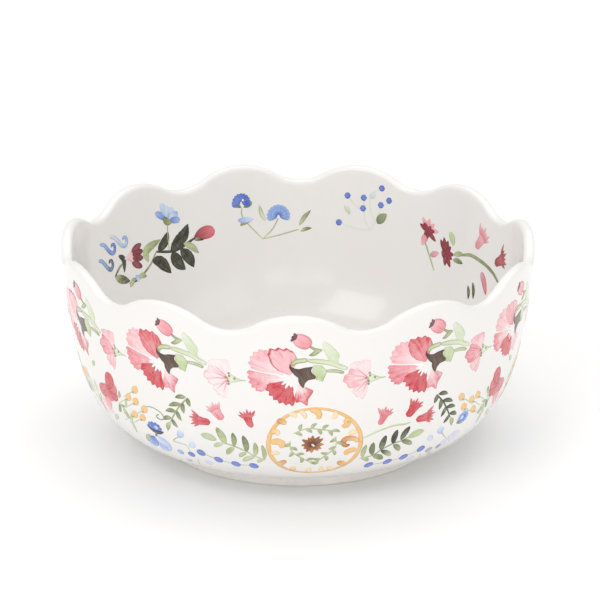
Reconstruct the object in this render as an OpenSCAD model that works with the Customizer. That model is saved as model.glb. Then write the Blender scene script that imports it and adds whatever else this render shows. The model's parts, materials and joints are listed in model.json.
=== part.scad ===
// Porcelain serving bowl with a scalloped rim, a glaze coat and fired floral transfers.
// Millimetres, +Z up. The origin is the middle of the circle that the foot stands on.
// Azimuth 0 is the side facing -Y, and azimuths grow anticlockwise seen from above.

/* [Bowl] */
// Outside radius of the rim
rim_r = 85; // [75:1:110]
// Height of the rim's crests above the table
crest_h = 75.8; // [66:0.1:95]
// Thickness of the wall at the rim, glaze included
rim_wall = 3.9; // [3.5:0.1:5]
// Thickness of the floor above the foot, glaze included
floor_wall = 4.9; // [4:0.1:8]

/* [Scalloped rim] */
// Number of scallops round the rim
scallops = 11; // [7:1:11]
// Height of a crest above the valley beside it
scallop_rise = 6.5; // [3:0.1:8]
// Share of each scallop's curve that belongs to the crest
crest_share = 0.61; // [0.55:0.01:0.65]

/* [Foot] */
// Outside radius of the edge that the bowl stands on
foot_r = 51.4; // [40:0.1:56]
// Height of the foot ring
foot_h = 4.2; // [3:0.1:6]
// Width of the foot ring at the table
foot_w = 4.6; // [3:0.1:8]
// How far the foot ring widens towards the wall
foot_flare = 1.3; // [0.5:0.1:3]

/* [Glaze and transfers] */
// Thickness of the glaze
glaze = 0.3; // [0.2:0.05:0.6]
// Thickness of a fired transfer
film = 0.1; // [0.06:0.02:0.2]
// Number of times that the lower border repeats round the bowl
borders = 3; // [2:1:3]
// Azimuth of the first medallion
border_at = 4.2; // [-15:0.1:15]
// Number of times that the wreath inside repeats
wreaths = 2; // [1:1:2]

/* [Hidden] */
$fn = 48;
// Straight steps that each wall curve is drawn with.
wall_steps = 30;
// Lowest part of each curve that a transfer can lie on, as a share of its steps.
film_from = 0.2;
// Width of the sector that one transfer is cut from.
film_angle = 70;
// How far a transfer's outline reaches to both sides of its own tangent plane.
reach = 9;
scallop_angle = 360 / scallops;
border_angle = 360 / borders;
wreath_angle = 360 / wreaths;

// Control points of the wall's outside and of the cavity, each as [radius, height].
outside = [
    [foot_r + foot_flare, foot_h],
    [0.892 * rim_r, 0.151 * crest_h],
    [0.952 * rim_r, 0.302 * crest_h],
    [rim_r, crest_h]
];
cavity = [
    [0.45 * rim_r, foot_h + floor_wall],
    [0.82 * rim_r, foot_h + floor_wall],
    [0.896 * rim_r, 0.317 * crest_h],
    [rim_r - rim_wall, crest_h]
];

// A point on a cubic curve, and the curve's direction there.
function bezier(c, t) =
    pow(1 - t, 3) * c[0] + 3 * t * pow(1 - t, 2) * c[1] + 3 * t * t * (1 - t) * c[2] + pow(t, 3) * c[3];
function heading(c, t) =
    let (d = pow(1 - t, 2) * (c[1] - c[0]) + 2 * t * (1 - t) * (c[2] - c[1]) + t * t * (c[3] - c[2]))
    d / norm(d);
// The same curve moved sideways, away from the axis when out is positive.
function shifted(c, t, out) =
    let (d = heading(c, t)) bezier(c, t) + out * [d[1], -d[0]];
// Where the curve, or its straight continuation, reaches a height near the rim.
function ended(c, out, z) = let (p = shifted(c, 1, out), d = heading(c, 1)) p + (z - p[1]) / d[1] * d;
// The curve as points, from a share of its steps up to a height near the rim.
function wall_line(c, out, z, from = 0) = concat(
    [for (i = [round(from * wall_steps) : wall_steps - 1]) shifted(c, i / wall_steps, out)],
    [ended(c, out, z)]
);
function reversed(list) = [for (i = [len(list) - 1 : -1 : 0]) list[i]];

// The scallops are two arcs that run into each other where the rim line is steepest.
// Both are drawn as facets that touch them, so each crest and valley has its exact height.
half_pitch = rim_r * sin(180 / scallops);
steepest = 2 * atan(scallop_rise / half_pitch);
arc_sum = half_pitch / sin(steepest);
crest_r = crest_share * arc_sum;
valley_r = arc_sum - crest_r;
valley_h = crest_h - scallop_rise;
crest_facets = 4;
valley_facets = 3;
function touching(radius, facets, k) =
    let (step = steepest / facets, a = (k + 0.5) * step) radius / cos(step / 2) * [sin(a), cos(a)];
// One side of the rim line, from the valley up to the crest, with x measured from the valley.
function rim_line(inset) = concat(
    [for (k = [0 : valley_facets - 1])
        let (p = touching(valley_r + inset, valley_facets, k)) [p[0], valley_h + valley_r - p[1]]],
    [for (k = [crest_facets - 1 : -1 : 0])
        let (p = touching(crest_r - inset, crest_facets, k)) [half_pitch - p[0], crest_h - crest_r + p[1]]]
);
function mirrored(list) = [for (p = list) [-p[0], p[1]]];

function numbered(name, n) = [for (i = [1 : n]) str(name, "_", i)];

// ---- Clay, foot and glaze ----

// What the scallops take away above one valley, for a rim that lies inset below the glazed one.
module scallop_cut(inset) {
    side = rim_line(inset);
    top = [side[len(side) - 1][0], crest_h + scallop_rise];
    rotate([90, 0, 0])
        translate([0, 0, rim_r - 2 * rim_wall])
            linear_extrude(4 * rim_wall)
                polygon(concat([top], reversed(side), mirrored(side), mirrored([top])));
}

// The bowl without its foot ring, drawn inset below the glazed surfaces.
module bowl_solid(inset) {
    top = crest_h - inset;
    difference() {
        rotate_extrude($fn = 180)
            polygon(concat(
                [[0, foot_h], [foot_r + foot_flare - inset, foot_h]],
                wall_line(outside, -inset, top, 1 / wall_steps),
                reversed(wall_line(cavity, inset, top)),
                [[0, foot_h + floor_wall - inset]]
            ));
        for (i = [0 : scallops - 1])
            rotate([0, 0, (i + 0.5) * scallop_angle])
                scallop_cut(inset);
    }
}

module porcelain_body() {
    color("whitesmoke") bowl_solid(glaze);
}

module foot_ring() {
    color("linen")
        rotate_extrude($fn = 180)
            polygon([
                [foot_r - foot_w, 0],
                [foot_r, 0],
                [foot_r + foot_flare - glaze, foot_h],
                [foot_r - foot_w - foot_flare, foot_h]
            ]);
}

module glaze_coat() {
    color("white", 0.5)
        difference() {
            bowl_solid(0);
            bowl_solid(glaze);
        }
}

module base_glaze() {
    color("white", 0.5)
        translate([0, 0, foot_h - glaze])
            cylinder(r = foot_r - foot_w - foot_flare, h = glaze, $fn = 120);
}

// ---- Outlines that the transfers are cut to, each drawn flat ----

// A pointed leaf or bud from the origin along +X.
module leaf(length, width) {
    side = [for (k = [1 : 4]) [length * k / 5, width / 2 * pow(sin(36 * k), 0.75)]];
    polygon(concat([[0, 0]], [for (p = side) [p[0], -p[1]]], [[length, 0]], reversed(side)));
}

// A fan of frilled petals between two directions.
module fan(radius, from, to, teeth) {
    step = (to - from) / (2 * teeth);
    polygon(concat(
        [[0, 0]],
        [for (k = [0 : 2 * teeth])
            let (a = from + k * step, r = radius * (k % 2 == 0 ? 0.88 : 1)) r * [cos(a), sin(a)]]
    ));
}

// A stem along a list of points.
module stem(points, width = 0.9) {
    for (k = [1 : len(points) - 1])
        let (d = points[k] - points[k - 1])
            translate(points[k - 1])
                rotate(atan2(d[1], d[0]))
                    translate([-width / 2, -width / 2])
                        square([norm(d) + width, width]);
}

// Leaves in pairs along a straight stem that starts at the origin.
module frond(length, pairs, leaf_length, leaf_width) {
    stem([[0, 0], [length - leaf_length / 2, 0]], 0.7);
    for (k = [0 : pairs - 1], side = [-1, 1])
        translate([(k + 0.6) / pairs * (length - leaf_length), 0])
            rotate(side * 48)
                leaf(leaf_length, leaf_width);
    translate([length - leaf_length, 0]) leaf(leaf_length, leaf_width);
}

// Petals of one size round a heart.
module rosette(petals, length, width, heart) {
    circle(r = heart);
    for (k = [0 : petals - 1])
        rotate(k * 360 / petals)
            leaf(length, width);
}

// A bell flower that hangs from the origin and opens along +Y.
module bell(size) {
    polygon(size * [
        [0.12, 0], [0.3, 0.48], [0.36, 0.93], [0.15, 0.74], [0, 1],
        [-0.15, 0.74], [-0.36, 0.93], [-0.3, 0.48], [-0.12, 0]
    ]);
}

// Round berries strung on a thin stalk.
module berry_string(points, radius) {
    stem(points, 0.6);
    for (p = points)
        translate(p) circle(r = radius, $fn = 24);
}

module carnation() {
    translate([-1.5, -0.5]) {
        fan(15.4, 134, 217, 8);
        fan(12.8, 84, 136, 4);
        fan(11.4, 211, 279, 5);
        fan(10, 270, 324, 3);
    }
    translate([-2, 4.8]) rotate(-65) leaf(9.6, 4.4);
    translate([1.4, 0.6]) rotate(8) leaf(9.8, 4.8);
    stem([[9.4, 1.8], [13.2, 1.7], [15.8, 2.6]]);
    stem([[-1.3, 5.2], [2.6, 6.6], [8, 6.9], [12.6, 5.7], [15.8, 3.9]]);
    translate([14.2, 4.4]) rotate(121) leaf(10.4, 5.6);
    stem([[10.4, 9.5], [8, 9.9], [4.4, 11.3]], 0.8);
    translate([8.4, 9.9]) rotate(204) leaf(5, 2);
    translate([5.2, 10.7]) rotate(146) leaf(8.2, 4.8);
}

module blossom() {
    fan(8.2, 116, 250, 7);
    translate([-0.8, -0.2]) leaf(5, 3);
}

// An ochre ring with hooks along its inside, and three leafy arcs held round a small flower.
module medallion() {
    difference() {
        circle(r = 15.4, $fn = 96);
        circle(r = 14.1, $fn = 96);
    }
    for (k = [0 : 13])
        rotate(k * 360 / 14)
            translate([14.6, 0])
                rotate(146)
                    leaf(4.6, 1.9);
    for (turn = [90, 210, 330]) rotate(turn) {
        stem([[3, 0], [14.6, 0]], 0.5);
        stem([for (a = [-36 : 12 : 36]) 8.4 * [cos(a), sin(a)]], 0.6);
        for (k = [0 : 5])
            rotate(12 * k - 32)
                translate([8.2, 0])
                    rotate(k % 2 == 0 ? 50 : 130)
                        leaf(3.2, 1.4);
    }
    rosette(10, 4.4, 1.8, 1.8);
}

// A low leaf spray whose stem carries three bell flowers on thin stalks.
module bells() {
    stem([[-14.5, -11], [-8, -5.4], [0, -3], [9, -3]]);
    for (p = [
        [-12, -8.6, 84], [-10.4, -7.6, 84], [-7.8, -5.2, 78], [-3.6, -4, 72], [0.4, -3, 62],
        [-9, -6.6, -26], [-3.6, -4, -30], [0.4, -3, -36], [8, -3, -8]
    ])
        translate([p[0], p[1]]) rotate(p[2]) leaf(6.6, 2.8);
    for (p = [[-8, -5, -9.6, 4.2, -16], [0.8, -3, 0.4, 5, -30], [6.8, -3, 6.6, 2.4, -60]]) {
        stem([[p[0], p[1]], [p[2], p[3] + 0.6]], 0.8);
        translate([p[2], p[3]]) rotate(p[4]) bell(8);
    }
}

module berries() {
    berry_string([[-14.4, -1.7], [-7.6, -1.8], [-1.3, -0.7], [4.9, 1.9], [9.6, -0.9], [14, -0.7]], 1.8);
}

// A fern, a blue flower and its drooping bud, yellow buds on thin stalks, and grasses.
module meadow() {
    translate([-2.4, -7.6]) rotate(120) frond(19.6, 6, 4.8, 1.9);
    stem([[-2.4, -7.6], [0.8, -6.4], [4.4, -7.8]], 0.7);
    translate([4.2, -7.8]) fan(4.8, 28, 134, 4);
    stem([[4.4, -7.8], [4.8, -10.4], [3.6, -14.6]], 0.7);
    translate([3.2, -16.2]) fan(5.4, 44, 128, 3);
    stem([[4.8, -10.4], [12.4, -12]], 0.6);
    for (p = [[0.2, 5.6], [2.7, 0.9], [5.8, 3.2], [9, 4.4], [9.4, -2.6], [6.2, -0.8]]) {
        stem([[12.4, -12], [10.6 - 0.2 * p[1], 0.4 * p[1] - 3.4], p], 0.5);
        translate(p) circle(r = 1.4, $fn = 20);
    }
    stem([[12.4, -12], [14.4, -6], [15.2, 2]], 0.6);
    for (p = [[12.6, -12, 80, 7.4], [14.4, -6.4, 112, 6.2], [14.6, -4, 62, 5], [15, 0, 104, 5.4]])
        translate([p[0], p[1]]) rotate(p[2]) leaf(p[3], 1.7);
}

module peony() {
    rosette(5, 7, 5.4, 3);
    stem([[-0.6, -2.4], [-2.4, -8], [-1.4, -13.6]], 0.8);
    translate([-1.2, -3]) fan(8.4, 208, 300, 5);
    translate([-2.2, -8]) rotate(10) leaf(6.4, 2.4);
    translate([-2, -11]) rotate(158) leaf(6.2, 2.4);
}

module inside_bells() {
    stem([[10.9, -7], [1.4, -5], [-8.2, -3.5], [-17.7, -5]]);
    stem([[1.4, -5], [1.6, -0.4]], 0.6);
    translate([1.2, -1.2]) rotate(-53) bell(11);
    stem([[-11.6, -4], [-11.4, 0.4]], 0.6);
    translate([-11.8, -0.4]) rotate(-28) bell(10);
    stem([[-5, -4], [-4.8, -8]], 0.6);
    stem([[-4.8, -8], [1.4, -14]], 1.8);
    translate([-12, -4.2]) rotate(206) leaf(6.4, 2.4);
}

module inside_stars() {
    translate([-4.8, 4]) rosette(8, 4.8, 2.2, 2);
    translate([4.1, -2.5]) rotate(20) rosette(8, 4.8, 2.2, 2);
    stem([[-4.8, 4], [-1.4, -4.6], [0, -11.4]], 0.8);
    stem([[4.1, -2.5], [-0.6, -8]], 0.8);
    translate([-1, -6.8]) rotate(206) leaf(6.4, 2.6);
    translate([-0.2, -9]) rotate(-22) leaf(6.4, 2.4);
}

module inside_berries() {
    berry_string([[9.1, 4.3], [6.1, 2], [-0.7, -0.2], [-10.2, -6.5]], 1.6);
    berry_string([[6.1, 2], [6.1, 7.9]], 1.6);
    berry_string([[-0.7, -0.2], [-0.7, 4], [-7.2, 4.2]], 1.6);
}

module inside_cornflowers() {
    translate([-6.8, 4.5]) rosette(8, 3.2, 1.6, 2.4);
    translate([-6.1, -3.5]) rosette(8, 3, 1.5, 2.2);
    translate([8.2, -1.5]) rosette(8, 3.6, 1.8, 2.6);
    stem([[-6.8, 4.5], [-6.1, -3.5], [1.2, -12]], 0.8);
    stem([[8.2, -1.5], [4, -8.4], [1.2, -12]], 0.8);
    translate([0.8, -11.4]) rotate(88) leaf(12, 1.9);
    stem([[1.2, -12], [15.4, -8.6]], 0.7);
    translate([15, -8.9]) rotate(70) leaf(8, 1.8);
    translate([15, -8.9]) rotate(114) leaf(6.4, 1.7);
}

// A curled floret: a stroke that runs down and turns back up on itself.
module curl() {
    stem([[-5.2, 3.2], [-0.6, -1.6], [1.6, -3.6], [3.8, -2.6], [4.6, 0.4], [3.2, 2.8]], 1.7);
}

module inside_tulips() {
    stem([[2, -12], [8, -5], [12, 0], [16, 2], [25.4, 1]]);
    for (p = [
        [15.6, 1.4, 62, 8.6, 4.6], [16.4, 2.6, -68, 11.6, 4.4], [12, 0.4, 172, 8.4, 3.8],
        [9, -3.6, -150, 8.6, 3.6], [6.8, -6.4, -30, 8.4, 3.2]
    ])
        translate([p[0], p[1]]) rotate(p[2]) leaf(p[3], p[4]);
    translate([24.4, 0.6]) leaf(9, 5.6);
    stem([[12, 0], [12.9, 10]], 0.7);
    translate([12.9, 9.2]) fan(6, 20, 160, 5);
    stem([[2, -12], [-8, -9], [-14.6, -5], [-13.4, -2]], 0.8);
    translate([-14, -2]) fan(10.5, -42, 62, 4);
    translate([-14.6, -5.6]) rotate(118) leaf(9, 3.6);
    translate([-12, -6.8]) rotate(206) leaf(7, 3);
    stem([[-14.6, -5], [-23.6, -1.4], [-21.4, 6.2], [-13.4, 6.6]], 0.6);
    for (p = [[-25.2, 1.5], [-21.8, 8], [-12.9, 8]])
        translate(p) curl();
}

// ---- Transfers on the wall ----

// The fired film of one transfer: children drawn flat with +Y up the wall, laid on the wall's
// outside or on the cavity's wall, which is seen from within the bowl.
module laid(azimuth, share, inside = false) {
    c = inside ? cavity : outside;
    out = inside ? -film : film;
    at = bezier(c, share);
    d = heading(c, share);
    rotate([0, 0, azimuth]) intersection() {
        rotate([0, 0, -90 - film_angle / 2])
            rotate_extrude(angle = film_angle, $fn = 180)
                polygon(concat(
                    wall_line(c, 0, crest_h, film_from),
                    reversed(wall_line(c, out, crest_h, film_from))
                ));
        translate([0, -at[0], at[1]])
            rotate([0, 0, inside ? 180 : 0])
                rotate([inside ? atan2(d[1], d[0]) : atan2(d[1], -d[0]), 0, 0])
                    linear_extrude(2 * reach, center = true)
                        children();
    }
}

// Both halves of the lower border mirror each other about the medallion.
module mirrored_border(i, side, offset, share) {
    turn = side == "left" ? -1 : 1;
    laid(border_at + i * border_angle + turn * offset, share)
        scale([turn, 1])
            children();
}

porcelain_body();
foot_ring();
glaze_coat();
base_glaze();
for (i = [1 : scallops]) {
    crest = (i - 1) * scallop_angle;
    color("palevioletred") laid(crest, 0.845) carnation();
    color("pink") laid(crest + 17.5, 0.831) blossom();
}
for (i = [1 : borders]) {
    color("goldenrod") laid(border_at + (i - 1) * border_angle, 0.565) medallion();
    color("crimson") laid(border_at + (i - 0.5) * border_angle, 0.661) peony();
    for (side = ["left", "right"]) {
        color("darkolivegreen") mirrored_border(i - 1, side, 23, 0.596) bells();
        color("royalblue") mirrored_border(i - 1, side, 27.5, 0.391) berries();
        color("seagreen") mirrored_border(i - 1, side, 40.5, 0.62) meadow();
    }
}
for (i = [1 : wreaths]) {
    start = (i - 1) * wreath_angle;
    color("firebrick") laid(start + 113, 0.855, true) inside_bells();
    color("crimson") laid(start + 137, 0.831, true) inside_stars();
    color("royalblue") laid(start + 160.5, 0.894, true) inside_berries();
    color("cornflowerblue") laid(start + 191, 0.883, true) inside_cornflowers();
    color("darkslategray") laid(start + 228, 0.814, true) inside_tulips();
}
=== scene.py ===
"""Porcelain serving bowl with a scalloped rim, a glossy glaze and fired floral transfers.

The clay, the foot ring, the two glaze films and each transfer are pieces of their own. A transfer is
a thin film of painted strokes. Its petals, leaves, stems and berries are drawn flat, in millimetres,
and laid on the bowl's wall. Azimuth 0 is the side facing -Y, and azimuths grow anticlockwise.
"""

import json
import math

import bmesh
import bpy
import numpy as np
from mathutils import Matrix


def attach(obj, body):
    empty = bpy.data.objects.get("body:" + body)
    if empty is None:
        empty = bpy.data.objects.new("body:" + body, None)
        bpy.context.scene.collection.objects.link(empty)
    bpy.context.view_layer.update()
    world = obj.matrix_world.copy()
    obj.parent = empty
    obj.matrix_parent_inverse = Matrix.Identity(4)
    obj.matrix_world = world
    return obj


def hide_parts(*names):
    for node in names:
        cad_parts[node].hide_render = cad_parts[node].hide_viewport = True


MM = 0.001

# The bowl's sizes in millimetres.
RIM_R = 85.0
CREST_H = 75.8
RIM_WALL = 3.9
FLOOR_H = 9.1
SCALLOPS = 11
SCALLOP_RISE = 6.5
CREST_SHARE = 0.61
FOOT_R = 51.4
FOOT_H = 4.2
FOOT_W = 4.6
FOOT_FLARE = 1.3
GLAZE = 0.3
LIP_RISE = 1.9
LIP_LEAN = 0.08
LIP_SQUARE = 0.86

# How finely the clay and the glaze are meshed.
AZIMUTHS = 352
OUTER_ROWS = 62
LIP_ROWS = 11
INNER_ROWS = 58
FLOOR_ROWS = 8

# The painted film: its lowest stroke, highest stroke and underside above the glaze, and its mesh size.
FILM_LOW = 0.02
FILM_HIGH = 0.09
FILM_UNDER = -0.01
STROKE_STEP = 0.45

# Where the painting lies. Heights run along the wall, from the foot outside and from the floor inside.
SCALLOP_PITCH = 360 / SCALLOPS
GARLAND_HEIGHT = 63.0
BLOSSOM_AT = 17.5
BLOSSOM_HEIGHT = 61.3
BORDERS = 3
BORDER_AT = 4.2
MEDALLION_HEIGHT = 35.6
PEONY_HEIGHT = 43.5
WREATHS = 2

# The peony between two borders faces one way or the other, and stands a little to its side.
PEONIES = ((1, (-4.6, -0.8)), (1, (-2.5, -0.4)), (-1, (-0.5, 0.0)))

# The camera: its distance from the axis, its height and where it looks.
CAMERA_AZIMUTH = 0.44
CAMERA_OUT = 0.8826
CAMERA_UP = 0.3806
CAMERA_TILT = 69.48
CAMERA_TURN = 0.39
CAMERA_LENS = 156.9

# All the painting is turned a little against the crests, in degrees.
PRINT_TURN = 0.44


def linear(red, green, blue):
    """A colour given as 0 to 255 display values, in linear light."""
    values = np.array([red, green, blue]) / 255
    return tuple(np.where(values <= 0.04045, values / 12.92, ((values + 0.055) / 1.055) ** 2.4))


# Pigments: colour and how much of the white glaze it covers.
WHITE = (linear(250, 246, 244), 1.0)
PEARL = (linear(250, 224, 226), 0.80)
SHELL = (linear(250, 214, 216), 0.85)
BLUSH = (linear(242, 168, 176), 0.90)
ROSE = (linear(228, 118, 130), 0.92)
CORAL = (linear(218, 88, 98), 0.95)
CRIMSON = (linear(204, 50, 63), 0.98)
MAROON = (linear(104, 20, 34), 1.0)
GARNET = (linear(142, 28, 50), 1.0)
MAUVE = (linear(206, 106, 130), 0.90)
PLUM = (linear(110, 44, 58), 1.0)
UMBER = (linear(58, 36, 25), 1.0)
BARK = (linear(94, 68, 44), 1.0)
MIST = (linear(220, 229, 204), 1.0)
CELADON = (linear(196, 212, 166), 0.95)
SAGE = (linear(172, 190, 122), 0.90)
OLIVE = (linear(136, 152, 78), 0.92)
FERN = (linear(92, 110, 54), 0.96)
FOREST = (linear(42, 44, 16), 1.0)
STRAW = (linear(250, 214, 140), 0.80)
HONEY = (linear(240, 190, 110), 0.95)
OCHRE = (linear(238, 186, 104), 0.95)
AMBER = (linear(206, 134, 58), 0.96)
RUST = (linear(92, 38, 6), 1.0)
BRONZE = (linear(172, 98, 26), 1.0)
ICE = (linear(188, 212, 246), 0.80)
SKY = (linear(132, 172, 236), 0.90)
COBALT = (linear(74, 112, 206), 0.96)
NAVY = (linear(50, 52, 84), 1.0)
LILAC = (linear(206, 208, 240), 0.80)
HEATHER = (linear(150, 146, 184), 0.90)


# ---- The wall's section ----


class WallCurve:
    """A cubic curve of the bowl's section, as radius and height in mm, measured by its own length."""

    def __init__(self, controls):
        share = np.linspace(0, 1, 1601)[:, None]
        p = np.array(controls, float)
        rest = 1 - share
        weights = (rest**3, 3 * share * rest**2, 3 * share**2 * rest, share**3)
        self.points = sum(weight * control for weight, control in zip(weights, p))
        steps = np.linalg.norm(np.diff(self.points, axis=0), axis=1)
        self.lengths = np.concatenate([[0.0], np.cumsum(steps)])
        headings = np.gradient(self.points, axis=0)
        self.headings = headings / np.linalg.norm(headings, axis=1)[:, None]

    def at(self, length):
        """Radius, height and the upward heading at a length along the curve."""
        columns = (self.points[:, 0], self.points[:, 1], self.headings[:, 0], self.headings[:, 1])
        return [np.interp(length, self.lengths, column) for column in columns]

    def length_at(self, height):
        return np.interp(height, self.points[:, 1], self.lengths)


OUTSIDE = WallCurve(
    [
        (FOOT_R + FOOT_FLARE, FOOT_H),
        (0.892 * RIM_R, 0.151 * CREST_H),
        (0.952 * RIM_R, 0.302 * CREST_H),
        (RIM_R, CREST_H),
    ]
)
CAVITY = WallCurve(
    [
        (0.45 * RIM_R, FLOOR_H),
        (0.82 * RIM_R, FLOOR_H),
        (0.896 * RIM_R, 0.317 * CREST_H),
        (RIM_R - RIM_WALL, CREST_H),
    ]
)


def rim_height(azimuth):
    """Height of the scalloped rim, in mm: a crest's arc that runs into a valley's arc."""
    half = RIM_R * math.sin(math.pi / SCALLOPS)
    steepest = 2 * math.atan(SCALLOP_RISE / half)
    arc_sum = half / math.sin(steepest)
    crest_r = CREST_SHARE * arc_sum
    valley_r = arc_sum - crest_r
    from_crest = np.abs((azimuth + SCALLOP_PITCH / 2) % SCALLOP_PITCH - SCALLOP_PITCH / 2)
    from_valley = RIM_R * np.sin(np.radians(SCALLOP_PITCH / 2 - from_crest))
    from_peak = half - from_valley
    on_crest = CREST_H - crest_r + np.sqrt(np.maximum(crest_r**2 - from_peak**2, 0))
    in_valley = CREST_H - SCALLOP_RISE + valley_r - np.sqrt(np.maximum(valley_r**2 - from_valley**2, 0))
    return np.where(from_peak < crest_r * math.sin(steepest), on_crest, in_valley)


def wall_rows(curve, top, shares, inset, outward):
    """Rows of the wall's surface up to each azimuth's own height, moved inset into the clay."""
    ends = curve.length_at(top)
    lengths = shares[:, None] * ends[None, :]
    radius, height, along_r, along_z = curve.at(lengths)
    side = -inset if outward else inset
    return np.stack([radius + side * along_z, height - side * along_r], axis=-1)


def bowl_rows(azimuths, inset):
    """The section from the foot, over the lip and down to the floor, for each azimuth."""
    rim = rim_height(azimuths)
    start = rim - LIP_RISE
    outer = wall_rows(OUTSIDE, start, np.linspace(0, 1, OUTER_ROWS), inset, True)
    inner = wall_rows(CAVITY, start, np.linspace(1, 0, INNER_ROWS), inset, False)
    turn = np.linspace(0, math.pi, LIP_ROWS + 2)[1:-1, None]
    across = np.sign(np.cos(turn)) * np.abs(np.cos(turn)) ** LIP_SQUARE
    rise = (LIP_RISE - inset) * np.sin(turn) ** LIP_SQUARE
    middle = (outer[-1] + inner[0]) / 2
    half = (outer[-1] - inner[0]) / 2
    lip = middle[None] + across[..., None] * half[None]
    lip = lip + np.stack([LIP_LEAN * rise + 0 * across, rise + 0 * across], axis=-1)
    floor_r = np.linspace(1, 0, FLOOR_ROWS + 1)[1:-1]
    floor_z = np.tile(inner[-1, :, 1], (len(floor_r), 1))
    floor = np.stack([floor_r[:, None] * inner[-1, :, 0], floor_z], axis=-1)
    return np.concatenate([outer, lip, inner, floor])


# ---- Meshes ----


def add_object(name, vertices, faces, smooth=True):
    """A closed mesh in metres, from points in mm, with its faces turned outwards."""
    mesh = bpy.data.meshes.new(name)
    mesh.from_pydata(np.asarray(vertices) * MM, [], faces)
    shape = bmesh.new()
    shape.from_mesh(mesh)
    bmesh.ops.recalc_face_normals(shape, faces=shape.faces)
    shape.to_mesh(mesh)
    shape.free()
    mesh.polygons.foreach_set("use_smooth", [smooth] * len(mesh.polygons))
    made = bpy.data.objects.new(name, mesh)
    bpy.context.scene.collection.objects.link(made)
    return made


def turned(name, rows, azimuths, looped=False):
    """A body of revolution from rows of radius and height, closed by a pole at each end or looped."""
    count = len(azimuths)
    angle = np.radians(azimuths)
    radius = rows[..., 0]
    points = np.stack([radius * np.sin(angle), -radius * np.cos(angle), rows[..., 1]], axis=-1)
    vertices = points.reshape(-1, 3).tolist()
    pairs = [(row, row + 1) for row in range(len(rows) - 1)]
    faces = []
    if looped:
        pairs.append((len(rows) - 1, 0))
    for lower, upper in pairs:
        for k in range(count):
            after = (k + 1) % count
            faces.append((lower * count + k, lower * count + after, upper * count + after, upper * count + k))
    if not looped:
        for row in (0, len(rows) - 1):
            pole = len(vertices)
            vertices.append([0.0, 0.0, float(rows[row, 0, 1])])
            faces += [(pole, row * count + k, row * count + (k + 1) % count) for k in range(count)]
    return add_object(name, vertices, faces)


def same_all_round(profile, count):
    return np.repeat(np.array(profile, float)[:, None, :], count, axis=1)


def rounded(corners, radius, steps=5):
    """A closed outline with each corner rounded by its own radius."""
    points = []
    total = len(corners)
    for k, corner in enumerate(corners):
        here = np.array(corner, float)
        before = np.array(corners[k - 1], float) - here
        after = np.array(corners[(k + 1) % total], float) - here
        entry = here + before / np.linalg.norm(before) * radius[k]
        leave = here + after / np.linalg.norm(after) * radius[k]
        for t in np.linspace(0, 1, steps):
            points.append((1 - t) ** 2 * entry + 2 * t * (1 - t) * here + t**2 * leave)
    return points


def glaze_skin(azimuths):
    """One glass film over the outside, the lip and the cavity, open only under the foot."""
    under = bowl_rows(azimuths, GLAZE)[::-1]
    over = bowl_rows(azimuths, 0.0)
    return turned("glaze_skin", np.concatenate([under, over]), azimuths)


def clay_body(azimuths):
    """The fired clay under the glaze, flat where the foot ring joins it."""
    wall = bowl_rows(azimuths, GLAZE)
    underside = [(radius, FOOT_H) for radius in (15.0, 30.0, 45.0, FOOT_R + FOOT_FLARE - GLAZE)]
    section = np.concatenate([same_all_round(underside, len(azimuths)), wall[1:]])
    return turned("porcelain_clay", section, azimuths)


def foot(azimuths):
    """The unglazed ring that the bowl stands on, its edges softened by the wipe."""
    corners = [
        (FOOT_R - FOOT_W - FOOT_FLARE, FOOT_H),
        (FOOT_R - FOOT_W, 0),
        (FOOT_R, 0),
        (FOOT_R + FOOT_FLARE - GLAZE, FOOT_H),
    ]
    profile = rounded(corners, (0.05, 1.1, 0.9, 0.05))
    return turned("foot_biscuit", same_all_round(profile, len(azimuths)), azimuths, looped=True)


def underside_glaze(azimuths):
    """The glaze inside the foot, gathered in a small curve where it meets the ring."""
    edge = FOOT_R - FOOT_W - FOOT_FLARE
    low = FOOT_H - GLAZE
    profile = [(edge / 2, FOOT_H), (edge, FOOT_H), (edge + 0.18, low - 0.3)]
    for t in np.linspace(0.15, 1, 7):
        profile.append((edge + 0.18 - 1.9 * t, low - 0.3 * (1 - t) ** 2.2))
    profile += [(edge * share, low) for share in (0.75, 0.5, 0.25)]
    return turned("underside_glaze", same_all_round(profile, len(azimuths)), azimuths)


# ---- Painted transfers ----


def leaf_form(fullest=0.45, blunt=0.75):
    """Half-width of a leaf or petal along its length, from 0 at the ends to 1 where it is fullest."""
    rise = blunt * 2 * fullest
    fall = blunt * 2 * (1 - fullest)
    peak = fullest**rise * (1 - fullest) ** fall
    return lambda u: np.clip(u, 0, 1) ** rise * np.clip(1 - u, 0, 1) ** fall / peak


def stem_form(u):
    return 1 - 0.45 * np.abs(2 * u - 1) ** 6


ROUND = leaf_form(0.5, 0.5)
LEAF = leaf_form()
DROP = leaf_form(0.62, 0.6)


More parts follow.
